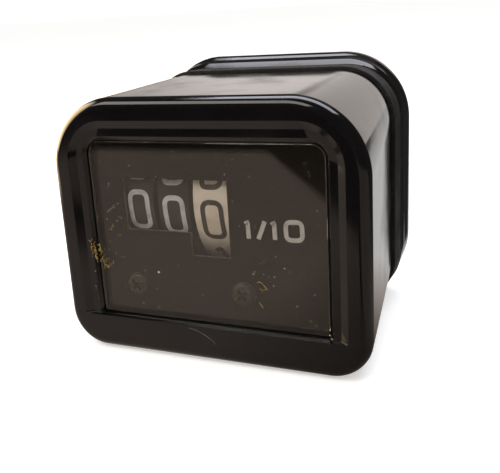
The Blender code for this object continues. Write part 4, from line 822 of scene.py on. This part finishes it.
def threaded(centre, radius, pitch, depth, low, high, ends, steps=SMALL_STEPS):
    """Rows of a threaded bar along Y: the radius falls from the crest by the depth times a
    triangle wave of the height less the share of a turn, and the wave dies out at the ends."""
    height = np.arange(low, high, pitch / 8)
    angle = np.linspace(0, 2 * np.pi, steps, endpoint=False)
    phase = height[:, None] / pitch - angle / (2 * np.pi)
    wave = 2 * np.abs(phase % 1.0 - 0.5)
    fade = np.clip(np.minimum(height - low, high - height) / ends, 0, 1)[:, None]
    return about("Y", centre, radius - depth * (wave * fade + (1 - fade) * 0.5), angle, height[:, None])


def make_nut(node, flats, bore, finish):
    """Hexagon nut: each end's corners are turned off to a cone that opens by a fifth of the
    flats for every two millimetres, and the bore has a countersink."""
    low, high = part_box(node)
    height = (high.y - low.y) / MM
    centre = (middle(node, "X"), low.y / MM, middle(node, "Z"))
    angle = np.linspace(0, 2 * np.pi, 192, endpoint=False)
    folded = (angle + np.pi / 6) % (np.pi / 3) - np.pi / 6
    hexagon = flats / 2 / np.cos(np.pi / 6 - np.abs(folded))
    rise = np.array([0.0, 0.15, 0.3, 0.45, 0.6, 0.8, 1.0])
    levels = np.concatenate([rise, height - rise[::-1]])
    cone = flats / 2 + 0.1 * flats * np.minimum(levels, height - levels)
    rows = [
        about("Y", centre, np.minimum(hexagon, limit), angle, level) for limit, level in zip(cone, levels)
    ]
    for radius, level in ((bore + 0.35, height), (bore, height - 0.35), (bore, 0.35), (bore + 0.35, 0)):
        rows.append(about("Y", centre, radius + 0 * angle, angle, level))
    stand_in(node, loft(rows, wrap=True), finish, sharp=20.0)


def make_mounting(side):
    """Stud with an M5 thread, rubber bush with its waist, pressed washer and nut."""
    stud, bush, washer, nut = (f"mount_{kind}_{side}" for kind in ("stud", "rubber", "washer", "nut"))
    x, z = middle(stud, "X"), middle(stud, "Z")
    centre = (x, 0, z)
    head = [(4.2, -4.7), (4.6, -4.5), (4.6, -3.5), (4.4, -3.3), (2.5, -3.3), (2.5, -0.4)]
    shank = threaded(centre, 2.5, 0.8, 0.42, 0.0, 14.6, 0.5)
    tip = rounds([(2.1, 14.7), (1.9, 15.0)], "Y", centre, SMALL_STEPS)
    rows = np.concatenate([rounds(head, "Y", centre, SMALL_STEPS), shank, tip])
    stand_in(stud, loft(rows), zinc, sharp=40.0)
    lips = [arc(6.7, low, 0.3, 0.3, -90, 0, 4) + arc(6.7, low + 0.8, 0.3, 0.3, 0, 90, 4) for low in (0.1, 3.7)]
    waist = [(5.9, 1.7)] + arc(6.0, 2.3, -0.2, 0.6, -60, 60, 6) + [(5.9, 2.9)]
    bush_profile = [(2.8, -0.2)] + lips[0] + waist + lips[1] + [(2.8, 4.8)]
    stand_in(bush, turned(bush_profile, "Y", centre, wrap=True), rubber, sharp=50.0)
    flat = [(2.8, 5.1), (5.8, 5.1), (6.0, 5.25), (6.0, 5.9), (5.75, 6.1), (2.95, 6.1), (2.8, 6.0)]
    stand_in(washer, turned(flat, "Y", centre, wrap=True), zinc)
    make_nut(nut, 8.0, 2.8, zinc)


def make_cable_collar():
    """Collar turned from bar: a flange inside the base, an M12 thread outside, and a mouth that
    takes the end of the drive cable."""
    centre = (middle("cable_collar", "X"), 0, middle("cable_collar", "Z"))
    flange = [(3.3, -4.7), (6.75, -4.7), (6.9, -4.55), (6.9, -3.45), (6.75, -3.3), (6.0, -3.3), (6.0, -0.3)]
    thread = threaded(centre, 6.0, 1.0, 0.5, 0.0, 8.4, 0.6, ROUND_STEPS)
    mouth = [(5.4, 9.0), (4.7, 9.0), (4.5, 8.8), (4.5, 0.6), (3.3, 0.6)]
    flange, mouth = (rounds(profile, "Y", centre, ROUND_STEPS) for profile in (flange, mouth))
    rows = np.concatenate([flange, thread, mouth])
    stand_in("cable_collar", loft(rows, wrap=True), brass, sharp=40.0)
    make_nut("collar_nut", 14.0, 6.3, zinc)


def make_reset_knob():
    """Moulded knob: a crowned end, twelve flutes that fade out at both ends of the grip, and a
    blind bore for the shaft."""
    low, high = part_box("reset_knob")
    left, length = low.x / MM, (high.x - low.x) / MM
    angle = np.linspace(0, 2 * np.pi, 12 * 16, endpoint=False)
    flute = np.clip(np.cos(12 * angle), 0, 1) ** 1.5
    profile = [(4.2, 0.0, 0.0)] + [(r, h, 0.0) for r, h in arc(4.9, 1.6, 2.1, 1.6, -90, -15, 8)]
    for height, depth in ((1.6, 0.35), (2.0, 0.9), (2.4, 1.0), (7.2, 1.0), (7.7, 0.9), (8.04, 0.3)):
        profile.append((7.0, height, depth))
    profile += [(6.9, 8.5, 0.0), (6.51, 9.0, 0.0), (2.5, 9.0, 0.0), (2.3, 8.8, 0.0), (2.3, 2.2, 0.0)]
    rows = [
        about("X", (left, AXIS_Y, AXIS_Z), radius - 0.35 * depth * flute, angle, height * length / 9.0)
        for radius, height, depth in profile
    ]
    stand_in("reset_knob", loft(rows), gloss_black, sharp=40.0)


def make_grommet():
    """Rubber bush in the side wall, its flange rounded outside."""
    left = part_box("shaft_grommet")[0].x / MM
    profile = [(2.3, 0.15), (2.45, 0.0)] + arc(4.8, 0.4, 0.4, 0.4, -90, 0, 6)
    profile += [(5.2, 0.8), (4.0, 0.8), (4.0, 5.2), (3.8, 5.4), (2.3, 5.4)]
    stand_in("shaft_grommet", turned(profile, "X", (left, AXIS_Y, AXIS_Z), wrap=True), rubber, sharp=40.0)


for screw_number, screw_turn in enumerate((20, 65, 5, 40), 1):
    make_screw(f"cover_screw_{screw_number}", 1, math.radians(screw_turn))
for screw_number, screw_turn in enumerate((33, 12, 71), 1):
    make_screw(f"frame_screw_{screw_number}", 1, math.radians(screw_turn))
make_screw("dial_screw_left", -1, math.radians(43))
make_screw("dial_screw_right", -1, math.radians(38))
for mount_side in ("left", "right"):
    make_mounting(mount_side)
make_cable_collar()
make_reset_knob()
make_grommet()


# Dirt that lies on the lens and the bezel

def surface_y(x):
    """Front of what the dirt lies on at an x: the lens inside the aperture, the ledge beside it."""
    return np.where(np.abs(x) < 26.4, APERTURE_DEPTH, LEDGE_DEPTH) - DEPTH


def shred(random, centre, length, width, lift):
    """Curled flake: a narrow strip that arches off the surface by a sine along its length and
    bends sideways by a square, with four corners at each of seven points."""
    turn = random.uniform(0, np.pi)
    along = np.linspace(-0.5, 0.5, 7)
    taper = width * (1 - (2 * along) ** 4 * 0.7) / 2
    bend = random.uniform(-0.4, 0.4) * length * along ** 2
    x = centre[0] + length * along * math.cos(turn) - bend * math.sin(turn)
    z = centre[1] + length * along * math.sin(turn) + bend * math.cos(turn)
    height = 0.03 + lift * np.cos(np.pi * along) * random.uniform(0.2, 1.0)
    side_x, side_z = -math.sin(turn) * taper, math.cos(turn) * taper
    y = surface_y(centre[0]) - height
    rows = [
        np.stack([x + sign * side_x, y + thick, z + sign * side_z], -1)
        for sign, thick in ((-1, 0.0), (1, 0.0), (1, -0.05), (-1, -0.05))
    ]
    return loft(np.stack(rows, 1))


def fibre(points, radius):
    """Thin round hair through a few points, on a curve that passes smoothly through them all."""
    points = np.array(points, float)
    knots = np.linspace(0, 1, len(points))
    t = np.linspace(0, 1, 24)
    power = min(3, len(points) - 1)
    line = np.stack([np.polyval(np.polyfit(knots, points[:, axis], power), t) for axis in range(3)], -1)
    along = np.gradient(line, axis=0)
    along /= np.linalg.norm(along, axis=1)[:, None]
    side = np.cross(along, [0.0, 1.0, 0.0])
    side /= np.linalg.norm(side, axis=1)[:, None]
    other = np.cross(along, side)
    angle = np.linspace(0, 2 * np.pi, 6, endpoint=False)[None, :, None]
    return loft(line[:, None] + radius * (np.cos(angle) * side[:, None] + np.sin(angle) * other[:, None]))


def make_dirt():
    """Chaff caught at the left of the lens, straw fibres by the right screw, loose specks, and
    hairs on the lens and the lower land. The heaps' middles and the lines' points are where
    the dirt lies."""
    random = np.random.default_rng(7)
    chaff = []
    for middle_x, middle_z, spread_x, spread_z, length, count in (
        (-26.8, -5.2, 0.9, 1.2, 0.9, 44), (-25.2, -7.8, 0.9, 0.8, 0.8, 36), (-21.5, 0.8, 2.6, 2.6, 0.35, 24),
        (-27.6, -14.0, 0.5, 3.5, 0.4, 6),
    ):
        for _ in range(count):
            centre = (random.normal(middle_x, spread_x), random.normal(middle_z, spread_z))
            size = random.uniform(0.15, length), random.uniform(0.05, 0.15)
            chaff.append(shred(random, centre, *size, 0.14))
    specks = []
    for _ in range(90):
        centre = (random.uniform(-25, 25), random.uniform(-18, 17))
        specks.append(shred(random, centre, random.uniform(0.10, 0.28), random.uniform(0.07, 0.15), 0.05))
    specks.append(shred(random, (-11.5, -9.2), 0.55, 0.4, 0.1))
    fibres = (
        [(11.4, -9.5), (12.2, -9.4), (13.0, -10.2), (13.5, -10.8)],
        [(11.8, -10.6), (12.5, -11.0), (13.1, -10.7)],
        [(11.6, -13.7), (12.0, -14.3), (12.4, -14.9)],
    )
    for line in fibres:
        chaff.append(fibre([(x, float(surface_y(x)) - 0.06, z) for x, z in line], 0.05))
    piece("chaff_on_lens", together(chaff), straw)
    hair = [(-23.0, 3.4), (-22.0, 4.3), (-20.8, 4.6)]
    specks.append(fibre([(x, float(surface_y(x)) - 0.05, z) for x, z in hair], 0.025))
    land = [(-4.4, -20.6), (-2.2, -21.0), (0.2, -22.2), (1.8, -23.6)]
    specks.append(fibre([(x, -DEPTH - 0.02, z) for x, z in land], 0.016))
    piece("lint_and_specks", together(specks), lint)


make_dirt()


# Stage, lamps and camera

FLOOR_AT_BEZEL = -BEZEL_TOP
BEZEL_FOOT_Y = -48.0
FLOOR_RISE = 0.0489
WHITE = "FFFFFF"
WARM = "FFD9A0"


def pale_floor():
    """Painted board: pale and matt, and white to the camera but for the shadow. To glossy rays it
    shows a painted reflection that glows: warm brown with streaks in front, dimmer to both
    sides, painted dark far in front and on a slant to the right, a painted bright band behind
    that ends on the right too, and a painted warm glow at the far left that stands in for a
    lamp. Distances are metres."""
    made, tree = new_material("board_painted_pale")
    paint = add(tree, "BsdfDiffuse", {"Color": "EFEEEC"})
    camera = add(tree, "LightPath", output="Is Camera Ray")
    shown = add(tree, "MapRange", {"Value": camera, "To Max": 0.45})
    lift = add(tree, "Emission", {"Color": WHITE, "Strength": shown})
    seen = add(tree, "AddShader", {0: paint, 1: lift})
    # From here on, the glossy-ray look: a painted reflection that glows on the board; its streaks are painted
    # too.
    place = add(tree, "TexCoord", output="Object")
    x, y = (add(tree, "SeparateXYZ", {0: place}, output=axis) for axis in "XY")
    grain = mottle(tree, 60.0, 0.3, 0.7, stretch=(6, 1, 1))
    brown = add(tree, "Mix", {"Factor": grain, "A": "FFE9DA", "B": "E8D2C2"}, data_type="RGBA")
    # Painted dark patches in the reflection, far in front and on a slant to the right.
    across = add(tree, "Math", {0: x, 1: 0.863}, operation="MULTIPLY")
    slant = add(tree, "Math", {0: y, 1: -0.505, 2: across}, operation="MULTIPLY_ADD")
    right = add(tree, "MapRange", {"Value": slant, "From Min": 0.083, "From Max": 0.088})
    far = add(tree, "MapRange", {"Value": y, "From Min": -0.37, "From Max": -0.41})
    dark = add(tree, "Math", {0: right, 1: far}, operation="MAXIMUM")
    # Painted glow in front, dimmer to both sides, with the painted dark patches and a brighter near side.
    top = {"Value": x, "From Min": -0.005, "From Max": 0.03, "To Min": 0.55, "To Max": 0.20}
    far_side = add(tree, "MapRange", {"Value": x, "From Min": -0.26, "From Max": -0.34})
    painted_front_glow = add(tree, "Mix", {"Factor": far_side, "A": add(tree, "MapRange", top), "B": 0.34})
    painted_front_glow = add(tree, "Mix", {"Factor": dark, "A": painted_front_glow, "B": 0.015})
    near_side = add(tree, "MapRange", {"Value": x, "From Min": 0.045, "From Max": 0.065})
    painted_front_glow = add(tree, "Mix", {"Factor": near_side, "A": painted_front_glow, "B": 0.40})
    # The sheet value is a painted bright band behind that ends on the right; no sheet is there.
    aside = add(tree, "Math", {0: y, 1: -0.16, 2: x}, operation="MULTIPLY_ADD")
    edge = {"Value": aside, "From Min": 0.036, "From Max": 0.046, "To Min": 0.85, "To Max": 0.06}
    sheet = add(tree, "MapRange", edge)
    behind = add(tree, "MapRange", {"Value": y, "From Min": -0.03, "From Max": 0.02})
    strength = add(tree, "Mix", {"Factor": behind, "A": painted_front_glow, "B": sheet})
    colour = add(tree, "Mix", {"Factor": behind, "A": brown, "B": "FFFCFA"}, data_type="RGBA")
    # The lamp value is a painted warm glow at the far left; the board here is no lamp.
    outer = add(tree, "MapRange", {"Value": x, "From Min": -0.19, "From Max": -0.25})
    level = add(tree, "MapRange", {"Value": y, "From Min": -0.20, "From Max": -0.10})
    lamp = add(tree, "Math", {0: outer, 1: level}, operation="MULTIPLY")
    strength = add(tree, "Mix", {"Factor": lamp, "A": strength, "B": 4.0})
    colour = add(tree, "Mix", {"Factor": lamp, "A": colour, "B": WARM}, data_type="RGBA")
    # The painted reflection: emission that only glossy rays see.
    painted_reflection = add(tree, "Emission", {"Color": colour, "Strength": strength})
    mirrored = add(tree, "LightPath", output="Is Glossy Ray")
    add(tree, "OutputMaterial", {"Surface": add(tree, "MixShader", {0: mirrored, 1: seen, 2: painted_reflection})})
    return made


def make_floor():
    """Flat board under the bezel's and the rim's lowest edges."""
    half = 3000.0
    corners = np.array([(-half, -half), (half, -half), (half, half), (-half, half)])
    height = FLOOR_AT_BEZEL - GAP + FLOOR_RISE * (corners[:, 1] - BEZEL_FOOT_Y)
    floor = mesh_object("floor", (np.column_stack([corners, height]), [[0, 1, 2, 3]]), pale_floor())


def make_world():
    """Plain studio air: white to the camera and soft light on matt surfaces. In reflections it is
    dark in front and near the horizon, with a bright wall behind that is low on the left and
    tall on the right, and a warm lamp at the far left."""
    world = bpy.data.worlds.new("studio")
    bpy.context.scene.world = world
    world.use_nodes = True
    tree = world.node_tree
    tree.nodes.clear()
    way = add(tree, "TexCoord", output="Generated")
    side, back, up = (add(tree, "SeparateXYZ", {0: way}, output=axis) for axis in "XYZ")
    foot = add(tree, "MapRange", {"Value": up, "From Min": 0.08, "From Max": 0.13})
    head = {"Value": up, "From Min": 0.22, "From Max": 0.28, "To Min": 1.0, "To Max": 0.02}
    low = add(tree, "Math", {0: foot, 1: add(tree, "MapRange", head)}, operation="MULTIPLY")
    head = {"Value": up, "From Min": 0.40, "From Max": 0.55, "To Min": 1.0, "To Max": 0.15}
    turn = add(tree, "MapRange", {"Value": side, "From Min": -0.32, "From Max": -0.22})
    wall = add(tree, "Mix", {"Factor": turn, "A": low, "B": add(tree, "MapRange", head)})
    for fade in (
        {"Value": side, "From Min": 0.18, "From Max": 0.24, "To Min": 1.0, "To Max": 0.0},
        {"Value": side, "From Min": -0.62, "From Max": -0.42, "To Min": 0.45},
        {"Value": back, "From Min": 0.3, "From Max": 0.6},
    ):
        wall = add(tree, "Math", {0: wall, 1: add(tree, "MapRange", fade)}, operation="MULTIPLY")
    aim = Vector((-0.97, 0.05, 0.20)).normalized()
    near = add(tree, "VectorMath", {0: way, 1: aim}, "Value", operation="DOT_PRODUCT")
    warm = add(tree, "MapRange", {"Value": near, "From Min": 0.84, "From Max": 0.92})
    air = add(tree, "MapRange", {"Value": wall, "To Min": 0.05, "To Max": 1.15})
    strength = add(tree, "Mix", {"Factor": warm, "A": air, "B": 8.0})
    colour = add(tree, "Mix", {"Factor": warm, "A": "FFF6F0", "B": WARM}, data_type="RGBA")
    room = add(tree, "Background", {"Color": colour, "Strength": strength})
    shown = add(tree, "Background", {"Color": WHITE, "Strength": 0.62})
    for ray, look in (
        ("Is Glossy Ray", room),
        ("Is Camera Ray", add(tree, "Background", {"Color": WHITE, "Strength": 1.0})),
    ):
        shown = add(tree, "MixShader", {0: add(tree, "LightPath", output=ray), 1: shown, 2: look})
    add(tree, "OutputWorld", {"Surface": shown})


def softbox(name, towards, distance, width, height, radiance, hex_colour):
    """Area lamp in a direction from the object's middle, facing it; its power is the radiance
    times pi times its area."""
    lamp = bpy.data.lights.new(name, "AREA")
    lamp.shape = "RECTANGLE"
    lamp.size = width
    lamp.size_y = height
    lamp.color = linear(hex_colour)[:3]
    lamp.energy = radiance * math.pi * width * height
    made = placed(name, lamp)
    way = Vector(towards).normalized()
    made.location = Vector((0, -0.025, 0)) + way * distance
    made.rotation_euler = way.to_track_quat("Z", "Y").to_euler()
    made.visible_camera = False
    return made


def make_camera():
    """Camera at the photograph's own angle: its back axis from an azimuth and an elevation, and
    then a roll about it."""
    place = Vector((67.92, -174.62, 39.90)) * MM
    azimuth, elevation, roll = (math.radians(angle) for angle in (24.60, 16.03, -3.27))
    back = Vector((
        math.sin(azimuth) * math.cos(elevation), -math.cos(azimuth) * math.cos(elevation),
        math.sin(elevation),
    ))
    right = Vector((0, 0, 1)).cross(back).normalized()
    up = back.cross(right)
    across = right * math.cos(roll) + up * math.sin(roll)
    upright = up * math.cos(roll) - right * math.sin(roll)
    data = bpy.data.cameras.new("camera")
    data.sensor_width = 36.0
    data.lens = 52.31
    data.clip_start = 0.01
    data.clip_end = 20.0
    camera = placed("camera", data)
    turn = Matrix((across, upright, back)).transposed().to_4x4()
    camera.matrix_world = Matrix.Translation(place) @ turn
    bpy.context.scene.camera = camera


make_floor()
make_world()
softbox("softbox_above", (0.02, 0.21, 0.95), 0.60, 0.64, 0.28, 6.0, "F4F7FF")
softbox("key", (-0.43, -0.62, 0.80), 0.70, 0.60, 0.30, 4.2, "FFF8F0")
make_camera()
bpy.context.scene.view_settings.view_transform = "Standard"
